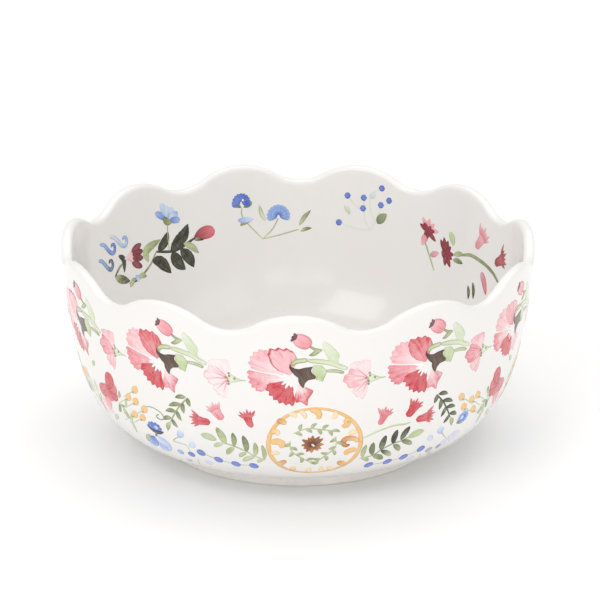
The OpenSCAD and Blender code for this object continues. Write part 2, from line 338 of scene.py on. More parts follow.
def smooth_line(points, step):
    """Evenly spaced points and headings along a curve through the given points."""
    p = np.array(points, float)
    if len(p) == 2:
        dense = p[0] + np.linspace(0, 1, 60)[:, None] * (p[1] - p[0])
    else:
        ends = np.vstack([2 * p[0] - p[1], p, 2 * p[-1] - p[-2]])
        t = np.linspace(0, 1, 24, endpoint=False)[:, None]
        spans = []
        for a, b, c, d in zip(ends, ends[1:], ends[2:], ends[3:]):
            square = 2 * b + (c - a) * t + (2 * a - 5 * b + 4 * c - d) * t**2
            spans.append(0.5 * (square + (3 * b - a - 3 * c + d) * t**3))
        dense = np.vstack([*spans, p[-1:]])
    run = np.concatenate([[0], np.cumsum(np.linalg.norm(np.diff(dense, axis=0), axis=1))])
    count = max(5, int(run[-1] / step) + 1)
    even = np.linspace(0, run[-1], count)
    line = np.stack([np.interp(even, run, dense[:, k]) for k in (0, 1)], axis=-1)
    heading = np.gradient(line, axis=0)
    return line, heading / np.linalg.norm(heading, axis=1)[:, None], run[-1]


class Film:
    """One transfer: strokes drawn flat in mm about a point of the wall, gathered into one thin mesh."""

    def __init__(self, inside, azimuth, height, flip=1, seed=0):
        self.curve = CAVITY if inside else OUTSIDE
        self.inside = inside
        self.azimuth = azimuth + PRINT_TURN
        self.height = height
        self.flip = flip
        self.random = np.random.default_rng(seed)
        self.patches = []

    def patch(self, x, y, along, across, rim, inks, outline, vein):
        """A painted patch: a grid of points with its distance to the outline and its two pigments."""
        self.patches.append((x, y, along, across, rim, inks, outline, vein, self.random.uniform(0, 40)))

    def blade(self, points, width, inks, form=LEAF, outline=0.35, vein=0.3, jag=0.0):
        """A stroke along a curved line: a leaf, a stem, a berry or a smooth petal."""
        line, heading, length = smooth_line(points, STROKE_STEP)
        u = np.linspace(0, 1, len(line))
        half = width / 2 * np.maximum(form(u), 0.07)
        if jag:
            half = half * (1 + jag * self.random.uniform(-1, 1, len(u)))
        across = np.linspace(-1, 1, max(3, 2 * int(width / STROKE_STEP / 2) + 1))
        side = np.stack([-heading[:, 1], heading[:, 0]], axis=-1)
        grid = line[:, None, :] + (half[:, None] * across[None, :])[..., None] * side[:, None, :]
        along = np.repeat(u[:, None], len(across), axis=1)
        v = np.repeat(across[None, :], len(u), axis=0)
        rim = np.minimum((1 - np.abs(v)) * half[:, None], np.minimum(along, 1 - along) * length)
        self.patch(grid[..., 0], grid[..., 1], along, v, rim, inks, outline, vein)

    def petal(self, heart, first, last, reach, inks, teeth=6, tooth=0.8, outline=0.5, start=0.5):
        """A frilled petal that spreads from its heart between two directions."""
        middle = math.radians((first + last) / 2)
        half_angle = math.radians(abs(last - first) / 2)
        count = max(9, 4 * teeth + 1, 2 * int(reach * half_angle / STROKE_STEP) + 1)
        v = np.linspace(-1, 1, count)
        frill = np.abs((v + 1) / 2 * teeth % 1 - 0.5) * 2
        wobble = np.interp(v, np.linspace(-1, 1, 7), self.random.uniform(-0.04, 0.04, 7))
        outer = reach * (1 - 0.16 * np.abs(v) ** 3 + wobble) - tooth * frill**1.4
        u = np.linspace(0, 1, max(6, int((reach - start) / STROKE_STEP) + 1))
        radius = start + (outer[None, :] - start) * u[:, None]
        fan = 0.72 + 0.28 * u[:, None] ** 0.7
        direction = middle + half_angle * v[None, :] * fan
        x = heart[0] + radius * np.cos(direction)
        y = heart[1] + radius * np.sin(direction)
        along = np.repeat(u[:, None], count, axis=1)
        across = np.repeat(v[None, :], len(u), axis=0)
        sides = (1 - np.abs(across)) * radius * half_angle
        rim = np.minimum((1 - along) * (outer[None, :] - start), sides)
        self.patch(x, y, along, across, rim, inks, outline, 0.7)

    def lobe(self, heart, edge, inks, start=0.4, teeth=0, tooth=0.6, outline=0.5, vein=0.6):
        """A petal that spreads from its heart to an edge drawn through points, toothed where it is far."""
        line, _, length = smooth_line(edge, 0.3)
        rays = line - np.array(heart, float)
        reach = np.linalg.norm(rays, axis=1)
        v = np.linspace(-1, 1, len(line))
        bite = np.abs((v + 1) / 2 * teeth % 1 - 0.5) * 2
        far = np.clip((reach / reach.max() - 0.72) / 0.15, 0, 1)
        outer = reach - (tooth if teeth else 0) * bite**0.9 * far
        u = np.linspace(0, 1, max(6, int((reach.max() - start) / STROKE_STEP) + 1))[:, None]
        radius = start + (outer - start) * u
        x = heart[0] + radius * rays[:, 0] / reach
        y = heart[1] + radius * rays[:, 1] / reach
        along = np.repeat(u, len(line), axis=1)
        across = np.tile(v, (len(u), 1))
        sides = (1 - np.abs(across)) * radius / reach * length / 2
        rim = np.minimum((1 - along) * (outer - start), sides)
        self.patch(x, y, along, across, rim, inks, outline, vein)

    def sheet(self, one_side, other_side, inks, outline=0.4, vein=0.4, jag=0.0):
        """A patch of any shape between two edges, each given as corners from its start to its end."""
        edges = []
        for side in (one_side, other_side):
            side = np.array(side, float)
            run = np.concatenate([[0], np.cumsum(np.linalg.norm(np.diff(side, axis=0), axis=1))])
            edges.append((side, run))
        length = max(run[-1] for _, run in edges)
        u = np.linspace(0, 1, max(6, int(2 * length / STROKE_STEP) + 1))
        first, last = [
            np.stack([np.interp(u * run[-1], run, side[:, k]) for k in (0, 1)], axis=-1)
            for side, run in edges
        ]
        if jag:
            last = last + self.random.uniform(-jag, jag, last.shape)
        gap = np.linalg.norm(last - first, axis=1)
        across = np.linspace(-1, 1, max(5, int(gap.max() / STROKE_STEP) + 1))
        share = (across[None, :, None] + 1) / 2
        grid = first[:, None, :] * (1 - share) + last[:, None, :] * share
        along = np.repeat(u[:, None], len(across), axis=1)
        v = np.repeat(across[None, :], len(u), axis=0)
        rim = np.minimum((1 - np.abs(v)) * gap[:, None] / 2, np.minimum(along, 1 - along) * length)
        self.patch(grid[..., 0], grid[..., 1], along, v, rim, inks, outline, vein)

    def laid(self, x, y, lift):
        """Flat points in mm put on the wall, lift above the glaze."""
        radius, height, along_r, along_z = self.curve.at(self.height + y)
        side = -1 if self.inside else 1
        angle = np.radians(self.azimuth) + side * self.flip * x / radius
        radius = radius + side * lift * along_z
        height = height - side * lift * along_r
        return np.stack([radius * np.sin(angle), -radius * np.cos(angle), height], axis=-1)

    def build(self, name, material):
        """The film as one object, each stroke a closed sheet that lies over the one before it."""
        vertices, faces, flat = [], [], []
        marks = {"pigment_a": [], "pigment_b": [], "brush": [], "edge": []}
        base = 0
        for order, (x, y, along, across, rim, inks, outline, vein, seed) in enumerate(self.patches):
            rows, columns = x.shape
            lift = FILM_LOW + (FILM_HIGH - FILM_LOW) * order / max(1, len(self.patches) - 1)
            size = rows * columns
            vertices += [self.laid(x, y, lift).reshape(-1, 3), self.laid(x, y, FILM_UNDER).reshape(-1, 3)]
            cell = base + np.arange(size).reshape(rows, columns)
            ring = [cell[:-1, :-1], cell[:-1, 1:], cell[1:, 1:], cell[1:, :-1]]
            top = np.stack(ring, axis=-1).reshape(-1, 4)
            loop = np.concatenate([cell[0, :], cell[1:, -1], cell[-1, -2::-1], cell[-2:0:-1, 0]])
            after = np.roll(loop, -1)
            wall = np.stack([loop, loop + size, after + size, after], axis=-1)
            faces += [top, top[:, ::-1] + size, wall]
            flat += [False] * (2 * len(top)) + [True] * len(wall)
            colours = [np.tile([*ink[0], ink[1]], (2 * size, 1)) for ink in inks]
            marks["pigment_a"].append(colours[0])
            marks["pigment_b"].append(colours[1])
            brush = np.stack([along, across, np.full(x.shape, seed)], axis=-1).reshape(-1, 3)
            edge = np.stack([rim, np.full(x.shape, outline), np.full(x.shape, vein)], axis=-1).reshape(-1, 3)
            marks["brush"].append(np.vstack([brush, brush]))
            marks["edge"].append(np.vstack([edge, edge]))
            base += 2 * size
        made = add_object(name, np.vstack(vertices), np.vstack(faces).tolist())
        mesh = made.data
        mesh.polygons.foreach_set("use_smooth", [not edge_face for edge_face in flat])
        for label, values in marks.items():
            kind = "FLOAT_COLOR" if label.startswith("pigment") else "FLOAT_VECTOR"
            field = "color" if kind == "FLOAT_COLOR" else "vector"
            layer = mesh.attributes.new(label, kind, "POINT")
            layer.data.foreach_set(field, np.vstack(values).astype(np.float32).ravel())
        mesh.materials.append(material)
        return made


def polar(origin, distance, degrees):
    angle = math.radians(degrees)
    return (origin[0] + distance * math.cos(angle), origin[1] + distance * math.sin(angle))


def heading_of(base, tip):
    return math.degrees(math.atan2(tip[1] - base[1], tip[0] - base[0]))


def leaf(film, base, tip, width, inks, bow=0.35, **looks):
    """A leaf between two points, bowed a little to its left."""
    middle = ((base[0] + tip[0]) / 2, (base[1] + tip[1]) / 2)
    film.blade([base, polar(middle, bow, heading_of(base, tip) + 90), tip], width, inks, **looks)


def leaves(film, rows, **looks):
    """Several leaves, each given as its base, tip, width and inks."""
    for base, tip, width, inks in rows:
        leaf(film, base, tip, width, inks, **looks)


def stalk(film, line, width, inks, outline=0.0):
    film.blade(line, width, inks, form=stem_form, outline=outline, vein=0)


def spike(film, base, tip, width, inks, fullest=0.35):
    """A thin pointed mark without an outline."""
    film.blade([base, tip], width, inks, form=leaf_form(fullest, 0.5), outline=0, vein=0)


def spot(film, centre, size, inks, tall=1.0, outline=0.5):
    """A round or oval spot: its half-width, and its height as a share of its width."""
    x, y = centre
    film.blade([(x - size, y), (x + size, y)], 2 * size * tall, inks, form=ROUND, outline=outline, vein=0.1)


def tube_form(u):
    """Half-width of a bell's tube, which has a round base and flares towards its mouth."""
    return (0.58 + 0.42 * u**2) * np.minimum(1, (7 * u) ** 0.5)


def bell(film, base, degrees, size, inks, mouth=0.56):
    """A bell flower: a round-ended tube that flares into a crown of six thin spikes."""
    tube = [base, polar(base, 0.36 * size, degrees - 3), polar(base, 0.70 * size, degrees)]
    film.blade(tube, mouth * size, inks, form=tube_form, outline=0.35, vein=0.9, jag=0.04)
    for k, spread in enumerate((-46, -28, -10, 8, 26, 44)):
        root = polar(base, 0.56 * size, degrees + 0.36 * spread)
        tip = polar(root, size * (0.32, 0.42)[k % 2], degrees + spread)
        film.blade([root, tip], 0.14 * size, inks, form=leaf_form(0.25, 0.5), outline=0.1, vein=0.2)


def sprig(film, line, count, length, width, inks):
    """A thin stem with leaves that lean out to each side in turn, and one at its tip."""
    stalk(film, line, 0.4, inks)
    points, headings, _ = smooth_line(line, 0.2)
    for k in range(count):
        place = int((k + 0.4) / count * (len(points) - 1))
        heading = math.degrees(math.atan2(headings[place, 1], headings[place, 0]))
        base = tuple(points[place])
        leaf(film, base, polar(base, length, heading + (52 if k % 2 else -52)), width, inks, outline=0.35)
    tip = tuple(points[-1])
    leaf(film, tip, polar(tip, length, heading), width, inks, outline=0.35)


def dome(film, heart, first, last, reach, inks):
    """A many-petalled flower seen from the side: a fan of petals under a shorter fan."""
    for share, count in ((1.0, 11), (0.64, 7)):
        for k in range(count):
            degrees = first + (last - first) * (k + 0.5) / count
            ends = [polar(heart, 0.1 * reach, degrees), polar(heart, share * reach, degrees)]
            width = 0.5 * share**0.5 * reach
            film.blade(ends, width, inks, form=leaf_form(0.62, 0.45), outline=0.3, vein=0.5)


def carnation(film, depth):
    """A frilled carnation seen from the side, with its calyx, stems, a broad leaf and a bud."""
    upper = ((BLUSH, BLUSH), (ROSE, CORAL), (ROSE, BLUSH))[depth]
    skirt = ((SHELL, CORAL), (SHELL, ROSE), (SHELL, BLUSH))[depth]
    film.lobe(
        (-4.6, 0.8),
        [(-9.6, 9.8), (-12.4, 10.3), (-15.0, 8.8), (-16.6, 5.6), (-16.0, 3.0), (-12.6, 1.9)],
        (SHELL, BLUSH), teeth=7, tooth=1.0, outline=0.5,
    )
    film.lobe(
        (-4.4, 0.0),
        [(-17.2, 2.2), (-16.9, -1.0), (-15.9, -3.9), (-13.2, -6.0), (-10.6, -5.0), (-8.2, -3.2)],
        ((SHELL, BLUSH, SHELL)[depth], ROSE), teeth=8, tooth=0.9, outline=0.5,
    )
    heart = np.array((-2.4, 0.6))
    edge = np.array(
        [(-6.6, 2.4), (-8.9, 5.0), (-10.2, 9.9), (-6.4, 11.1), (-2.4, 10.4), (-0.3, 7.2), (-0.6, 5.6)]
    )
    if depth == 0:
        film.lobe(heart, edge, (CORAL, CRIMSON), teeth=8, tooth=0.9, outline=0.2)
        edge = heart + 0.95 * (edge - heart) + (0.25, 0.0)
    film.lobe(heart, edge, upper, teeth=8, tooth=0.9, outline=0.9, vein=0.8)
    film.lobe(
        (0.2, -2.6),
        [(-1.2, -7.6), (-0.6, -9.7), (0.9, -9.4), (3.1, -10.9), (3.4, -8.6), (5.1, -5.3), (3.4, -4.5)],
        skirt, outline=0.6, vein=0.8,
    )
    film.lobe(
        (-2.2, -1.2),
        [(-9.6, -2.4), (-11.2, -4.2), (-9.6, -7.4), (-7.4, -9.6), (-4.6, -10.8), (-1.0, -10.8), (-1.6, -6.0)],
        (CRIMSON, CRIMSON), start=3.0, teeth=9, tooth=1.1, outline=0.35, vein=0.5,
    )
    for degrees in (196, 208, 220, 233, 246, 259, 271):
        near = polar((-2.2, -1.2), 2.0, degrees + 4)
        spike(film, polar((-2.2, -1.2), 4.6, degrees), near, 1.3, (CRIMSON, CRIMSON))
    film.blade([(-6.6, 0.4), (-3.4, -0.2), (-1.6, -1.6)], 1.1, (WHITE, WHITE), outline=0, vein=0)
    for base, tip in (
        ((-3.0, -0.6), (-6.4, -0.9)),
        ((-3.0, -0.9), (-5.4, -2.9)),
        ((-2.6, -1.2), (-4.2, -4.3)),
        ((-2.0, -1.4), (-2.3, -3.9)),
    ):
        spike(film, base, tip, 0.8, (WHITE, WHITE), fullest=0.62)
    calyx_left = [
        (-2.7, 5.0), (-2.9, 3.6), (-2.2, 2.2), (-1.0, 0.7),
        (0.1, -0.2), (0.2, -1.8), (0.9, -3.2), (1.8, -4.2),
    ]
    calyx_right = [
        (-2.6, 5.0), (-2.2, 4.0), (-1.0, 3.3), (0.4, 3.0), (2.2, 3.6), (4.9, 3.9), (4.3, 2.4),
        (4.8, 1.3), (6.0, 0.3), (5.7, -0.7), (3.6, -0.9), (2.4, -2.2), (1.8, -4.2),
    ]
    film.sheet(calyx_left, calyx_right, (UMBER, BARK), outline=0.6, vein=0.5)
    film.sheet(
        [(4.9, 4.2), (4.8, 1.4), (5.9, 0.3), (5.9, -1.0)],
        [(5.4, 4.5), (7.8, 4.3), (9.7, 2.2), (9.0, 0.2), (8.2, -1.8), (7.2, -1.3), (5.9, -1.0)],
        (CELADON, SAGE), outline=0.6, vein=0.3,
    )
    stalk(film, [(9.4, 2.2), (12.5, 2.0), (15.3, 1.2)], 1.2, (CELADON, SAGE), outline=1.0)
    long_stem = [(3.4, 6.2), (7.0, 5.8), (11.0, 5.0), (14.0, 3.6), (16.5, 2.6)]
    stalk(film, long_stem, 1.8, (CELADON, MIST), outline=0.7)
    stalk(film, [(-2.2, 4.6), (-0.4, 5.9), (3.2, 6.4)], 1.7, (SAGE, CELADON), outline=1.0)
    film.sheet(
        [(7.9, 12.2), (8.6, 9.8), (9.4, 8.0), (10.4, 5.9), (12.6, 4.6), (15.0, 3.2)],
        [
            (8.2, 12.6), (8.9, 13.2), (11.2, 11.4), (13.5, 8.6),
            (13.8, 7.0), (13.2, 6.0), (14.0, 4.2), (15.2, 3.3),
        ],
        (MIST, CELADON), outline=0.25, vein=0.35, jag=0.1,
    )
    stalk(film, [(4.0, 11.4), (5.6, 10.4), (8.0, 9.9)], 0.9, (OLIVE, SAGE), outline=0.6)
    film.blade([(8.0, 10.0), (6.6, 9.6), (4.8, 8.4), (3.6, 8.2)], 1.6, (SAGE, OLIVE), outline=0.7)
    bud = [(4.2, 11.3), (1.6, 13.2), (-1.6, 14.9)]
    film.blade(bud, 5.0, (ROSE, BLUSH), form=leaf_form(0.48, 0.42), outline=0.9, vein=0.7)
    for base, tip in (
        ((-1.0, 14.8), (-2.4, 13.3)),
        ((-1.0, 14.8), (-2.2, 14.9)),
        ((-0.8, 15.0), (-1.2, 16.4)),
        ((-1.4, 13.6), (-0.2, 16.0)),
    ):
        spike(film, base, tip, 1.0, (PLUM, PLUM), fullest=0.45)


def blossom(film, depth):
    """A small side-on blossom with a pale green calyx at its right."""
    rear = ((SHELL, SHELL), (SHELL, BLUSH), (PEARL, PEARL), (SHELL, PEARL))[depth]
    front = ((SHELL, BLUSH), (BLUSH, ROSE), (PEARL, SHELL), (SHELL, BLUSH))[depth]
    film.lobe(
        (-1.6, 1.0), [(-7.6, 3.6), (-8.4, 6.2), (-5.4, 6.8), (-1.2, 6.6), (-0.8, 3.4)], rear,
        teeth=4, outline=0.4,
    )
    film.lobe(
        (-1.6, -1.2), [(-7.2, -3.6), (-6.6, -5.8), (-4.4, -7.4), (-2.8, -7.8), (-1.6, -4.6)], rear,
        teeth=4, outline=0.45,
    )
    film.lobe(
        (-1.4, 0.0),
        [(-4.6, 2.8), (-7.8, 4.2), (-9.2, 2.4), (-10.6, 0.4), (-9.6, -1.2), (-7.8, -3.2), (-4.6, -2.6)],
        front, teeth=6, tooth=0.5, outline=0.7, vein=0.8,
    )
    film.sheet(
        [(-1.4, 2.2), (0.2, 1.2), (2.8, -0.1), (4.6, -0.2)],
        [(-1.6, -2.2), (0.4, -1.4), (2.8, -0.7), (4.6, -0.5)],
        (MIST, CELADON), outline=0.6, vein=0.4,
    )
    for tip in ((-6.2, 4.4), (-7.4, 2.0), (-7.6, -0.6), (-5.6, -4.8), (-3.4, -5.6)):
        spike(film, (-1.4, 0.0), tip, 0.45, (ROSE, BLUSH))
    for centre in ((-1.2, 1.9), (-1.0, 0.9), (-2.3, 0.2), (-1.4, -1.1), (-1.4, -2.2), (0.8, 0.1)):
        spot(film, centre, 0.42, (FERN, OLIVE), outline=0.2)


def ring_form(u):
    """Half-width of the medallion's ring, fullest at two places round it."""
    return 0.82 + 0.18 * np.cos(4 * np.pi * u)


def medallion(film):
    """An ochre ring with hooked scrolls inside it, three leafy arcs and a brown flower."""
    around = np.radians(np.linspace(0, 360, 73))
    ring_r = 15.4 + 0.15 * np.sin(3 * around + 0.6)
    ring = np.stack([1.02 * ring_r * np.cos(around), ring_r * np.sin(around)], axis=-1)
    film.blade(ring, 1.55, (OCHRE, OCHRE), form=ring_form, outline=0.3, vein=0.3, jag=0.05)
    hooks = (
        (2.2, OCHRE, OCHRE, [(-15.0, 1.0), (-12.8, 1.6), (-11.0, 0.6), (-11.4, -1.4)]),
        (1.8, OCHRE, STRAW, [(-15.0, 5.6), (-13.0, 5.8), (-12.4, 4.2)]),
        (1.8, AMBER, OCHRE, [(-13.0, 10.5), (-11.0, 10.0), (-9.8, 9.0)]),
        (1.4, STRAW, STRAW, [(-9.0, 13.4), (-7.0, 12.8), (-6.6, 11.4)]),
        (1.3, STRAW, STRAW, [(-5.2, 14.6), (-3.6, 12.8), (-3.6, 11.2)]),
        (1.8, OCHRE, OCHRE, [(-2.0, 15.0), (0.6, 14.0), (1.2, 12.0), (0.2, 11.4)]),
        (1.4, STRAW, STRAW, [(6.6, 13.8), (6.6, 12.0), (5.4, 11.0)]),
        (1.8, OCHRE, OCHRE, [(12.0, 9.6), (10.6, 10.0), (10.8, 8.0), (8.8, 7.6)]),
        (1.6, STRAW, STRAW, [(14.6, 4.4), (12.6, 4.8), (11.6, 3.6)]),
        (1.7, OCHRE, BRONZE, [(14.8, 0.0), (13.6, 1.8), (11.0, 2.2), (9.6, 0.8), (10.4, -1.0), (12.0, -0.6)]),
        (1.8, OCHRE, OCHRE, [(14.4, -3.0), (12.0, -3.6), (10.8, -4.4), (11.4, -5.6)]),
        (2.0, OCHRE, AMBER, [(11.2, -10.2), (9.6, -10.2), (8.2, -8.6)]),
        (1.6, STRAW, STRAW, [(7.2, -13.6), (5.4, -12.8), (4.8, -11.2)]),
        (1.4, STRAW, STRAW, [(3.4, -14.8), (2.4, -12.8), (2.8, -11.2)]),
        (1.5, STRAW, STRAW, [(-1.0, -15.0), (-1.8, -13.2), (-1.0, -11.8)]),
        (1.6, OCHRE, STRAW, [(-6.6, -13.8), (-7.0, -12.2), (-6.0, -11.0)]),
        (1.9, OCHRE, AMBER, [(-12.0, -10.2), (-10.6, -8.6), (-9.4, -7.6)]),
        (1.6, STRAW, STRAW, [(-14.8, -4.4), (-13.0, -3.6), (-12.0, -4.6)]),
    )
    for width, root, tip, line in hooks:
        film.blade(line, 1.3 * width, (root, tip), form=leaf_form(0.42, 0.36), outline=0.4, vein=0.2)
    sprig(film, [(-7.4, 5.2), (-3.0, 7.2), (0.5, 7.0), (5.6, 6.0)], 7, 2.8, 1.3, (SAGE, OLIVE))
    sprig(film, [(-8.4, 2.0), (-8.0, -2.0), (-6.0, -4.6), (-1.6, -8.2)], 6, 2.8, 1.3, (SAGE, OLIVE))
    sprig(film, [(7.0, 3.6), (7.2, -0.5), (6.2, -2.4), (4.6, -4.2), (1.4, -7.6)], 7, 2.8, 1.3, (SAGE, OLIVE))
    heart = (-0.8, 0.3)
    for k in range(12):
        degrees = 30 * k + film.random.uniform(-6, 6)
        reach = film.random.uniform(3.5, 4.6)
        tip = AMBER if k in (0, 9, 10, 11) else BRONZE
        ends = [polar(heart, 0.4, degrees), polar(heart, reach, degrees)]
        film.blade(ends, 1.5, (RUST, tip), form=leaf_form(0.42, 0.6), outline=0.3, vein=0.3)
    spot(film, (-0.4, -0.2), 0.4, (WHITE, WHITE), outline=0)


def leaf_spray_left(film):
    """A pale low spray whose upper leaves stand up from its stem."""
    leafy = (SAGE, OLIVE)
    stalk(film, [(-13.6, -10.0), (-10.2, -8.4), (-7.5, -6.4), (-3.5, -4.4), (0.5, -3.4)], 0.6, leafy)
    leaves(film, (
        ((-13.2, -9.6), (-13.4, -2.8), 1.6, leafy),
        ((-10.2, -8.2), (-11.0, -1.8), 1.8, leafy),
        ((-7.6, -6.4), (-7.2, 0.8), 2.2, (OLIVE, FERN)),
        ((-3.4, -4.4), (-3.6, 1.6), 1.9, (OLIVE, FERN)),
        ((-0.4, -4.0), (2.0, 3.0), 2.8, (SAGE, OLIVE)),
        ((2.6, -2.6), (8.2, -1.4), 3.0, (SAGE, SAGE)),
        ((-13.0, -9.6), (-10.6, -11.8), 1.6, (CELADON, SAGE)),
        ((-10.0, -8.6), (-5.4, -11.8), 2.1, (CELADON, SAGE)),
        ((-7.4, -7.0), (-4.6, -9.6), 1.7, (SAGE, SAGE)),
        ((-3.4, -5.0), (-0.2, -9.0), 2.0, leafy),
        ((0.4, -4.0), (4.0, -6.0), 1.8, (CELADON, SAGE)),
    ), form=leaf_form(0.5, 0.6), outline=0.45, vein=0.4)


def leaf_spray_right(film):
    """The darker spray, with a pale tendril above it."""
    stem = [(-14.0, -10.8), (-9.6, -9.8), (-7.0, -7.6), (-3.0, -5.4), (0.0, -5.0), (2.4, -4.0)]
    stalk(film, stem, 0.6, (OLIVE, FERN))
    leaves(film, (
        ((-13.2, -10.4), (-13.2, -4.0), 1.8, (SAGE, OLIVE)),
        ((-9.8, -9.6), (-10.8, -3.4), 2.1, (FERN, FERN)),
        ((-7.0, -7.8), (-6.6, -1.0), 2.4, (FERN, FOREST)),
        ((-3.0, -5.6), (-2.6, 0.6), 2.3, (FOREST, FOREST)),
        ((-0.2, -4.6), (2.2, 1.0), 2.5, (FERN, FOREST)),
        ((2.4, -4.0), (8.6, -2.6), 3.2, (SAGE, SAGE)),
        ((-13.4, -10.4), (-10.6, -13.0), 1.8, (SAGE, OLIVE)),
        ((-9.6, -9.8), (-5.2, -13.2), 2.4, (OLIVE, FERN)),
        ((-7.0, -8.0), (-2.4, -12.0), 2.1, (FOREST, SAGE)),
        ((-2.8, -6.0), (0.4, -10.0), 2.0, (FERN, OLIVE)),
        ((0.2, -5.0), (4.8, -8.0), 2.1, (FERN, OLIVE)),
    ), form=leaf_form(0.5, 0.6), outline=0.45, vein=0.4)
    tendril = [(-15.0, -1.0), (-11.0, 1.0), (-7.0, 2.2), (-3.0, 2.8), (0.0, 2.4), (2.0, 2.8)]
    stalk(film, tendril, 0.7, (CELADON, SAGE))


def bells(film, dark):
    """Three red bells over a leaf spray."""
    if dark:
        leaf_spray_right(film)
        bell(film, (-9.8, 4.0), 72, 7.6, (ROSE, CORAL), mouth=0.5)
        bell(film, (0.4, 5.4), 58, 7.8, (CRIMSON, CRIMSON), mouth=0.66)
        bell(film, (4.2, 3.4), 3, 8.2, (CRIMSON, CORAL))
    else:
        leaf_spray_left(film)
        bell(film, (-10.6, 4.6), 75, 7.6, (CORAL, CRIMSON), mouth=0.5)
        bell(film, (-0.6, 6.6), 57, 7.6, (ROSE, BLUSH), mouth=0.66)
        bell(film, (4.0, 4.8), 2, 8.2, (CRIMSON, CORAL))


def berries(film, dark):
    """A string of blue berries with paler ones below it, and a floret on a pale stalk."""
    if dark:
        string = [(-15.0, -1.8), (-8.0, -1.7), (-2.0, -0.8), (4.2, 1.8)]
        faded = (((8.8, -0.8), 1.6, HEATHER), ((13.2, -0.7), 1.4, HEATHER), ((1.8, -3.2), 1.5, LILAC))
        floret, stalk_line = (10.9, 8.9), [(11.6, 7.4), (13.6, 5.0), (15.0, 3.6)]
        branch = [(5.2, -1.6), (6.8, -4.6), (8.6, -9.0)]
    else:
        string = [(-14.4, -0.2), (-8.1, -0.2), (-2.1, 1.0), (3.9, 3.4)]
        faded = (((8.3, 1.0), 1.5, COBALT), ((12.8, 0.8), 1.4, SKY), ((2.4, -2.2), 1.5, LILAC))
        floret, stalk_line = (11.0, 10.6), [(11.6, 9.2), (14.2, 6.4), (9.0, 5.8), (8.6, 2.4)]
        branch = [(6.2, -1.0), (7.0, -3.6), (7.4, -7.0)]
    stalk(film, string, 0.42, (SAGE, OLIVE))
    stalk(film, branch, 0.42, (CELADON, SAGE))
    stalk(film, stalk_line, 0.42, (OLIVE, CELADON))
    for centre, size, ink in faded:
        spot(film, centre, size, (ink, ink), outline=0.4)
    spot(film, (11.0, -4.2), 1.3, (HEATHER, LILAC), tall=0.8, outline=0.2)
    for centre in string:
        spot(film, centre, 1.68, (COBALT, COBALT))
    x, y = floret
    leaf(film, (x + 0.7, y - 1.7), (x - 0.8, y + 1.8), 2.8, (SKY, ICE), form=DROP)
    leaf(film, (7.6, 5.4), (6.0, 8.4), 2.4, (ICE, ICE), form=ROUND, outline=0.1)


def hanging_fern(film, drop, upper, lower):
    """A fern whose stem hangs down to the right, with leaves on both its sides."""
    stem = [(x, y + drop) for x, y in ((-13.2, 11.2), (-9.6, 7.4), (-6.6, 3.2), (-4.2, -0.6))]
    stalk(film, stem, 0.6, (lower[1], lower[1]))
    for inks, ends in (
        (upper, (((-12.4, 11.2), (-8.0, 10.2)), ((-10.0, 8.0), (-4.8, 6.2)), ((-7.6, 4.6), (-3.0, 3.6)),
                 ((-5.0, 1.4), (-1.2, -0.4)))),
        (lower, (((-13.2, 11.0), (-13.6, 7.8)), ((-11.0, 8.6), (-10.6, 4.4)), ((-8.0, 4.8), (-9.0, 1.0)),
                 ((-5.2, 0.8), (-6.8, -2.4)))),
        ((SAGE, OLIVE), (((-4.0, -0.8), (-2.0, -5.0)),)),
    ):
        for base, tip in ends:
            leaf(film, (base[0], base[1] + drop), (tip[0], tip[1] + drop), 1.75, inks, outline=0.4)


def yellow_bud(film, centre, size):
    """An oval bud, tilted, on a stalk that leaves to the lower right and ends in a green cup."""
    low = polar(centre, size, -48)
    x, y = centre
    stalk(film, [(x + 7.0, y - 5.4), (x + 3.4, y - 2.9), low], 0.36, (CELADON, SAGE))
    leaf(film, low, polar(centre, size, 132), 1.4 * size, (OCHRE, HONEY), form=ROUND, outline=0.35)
    leaf(film, polar(low, 0.5, -48), polar(low, 0.6 * size, 150), 0.7, (OLIVE, OLIVE), outline=0, vein=0)


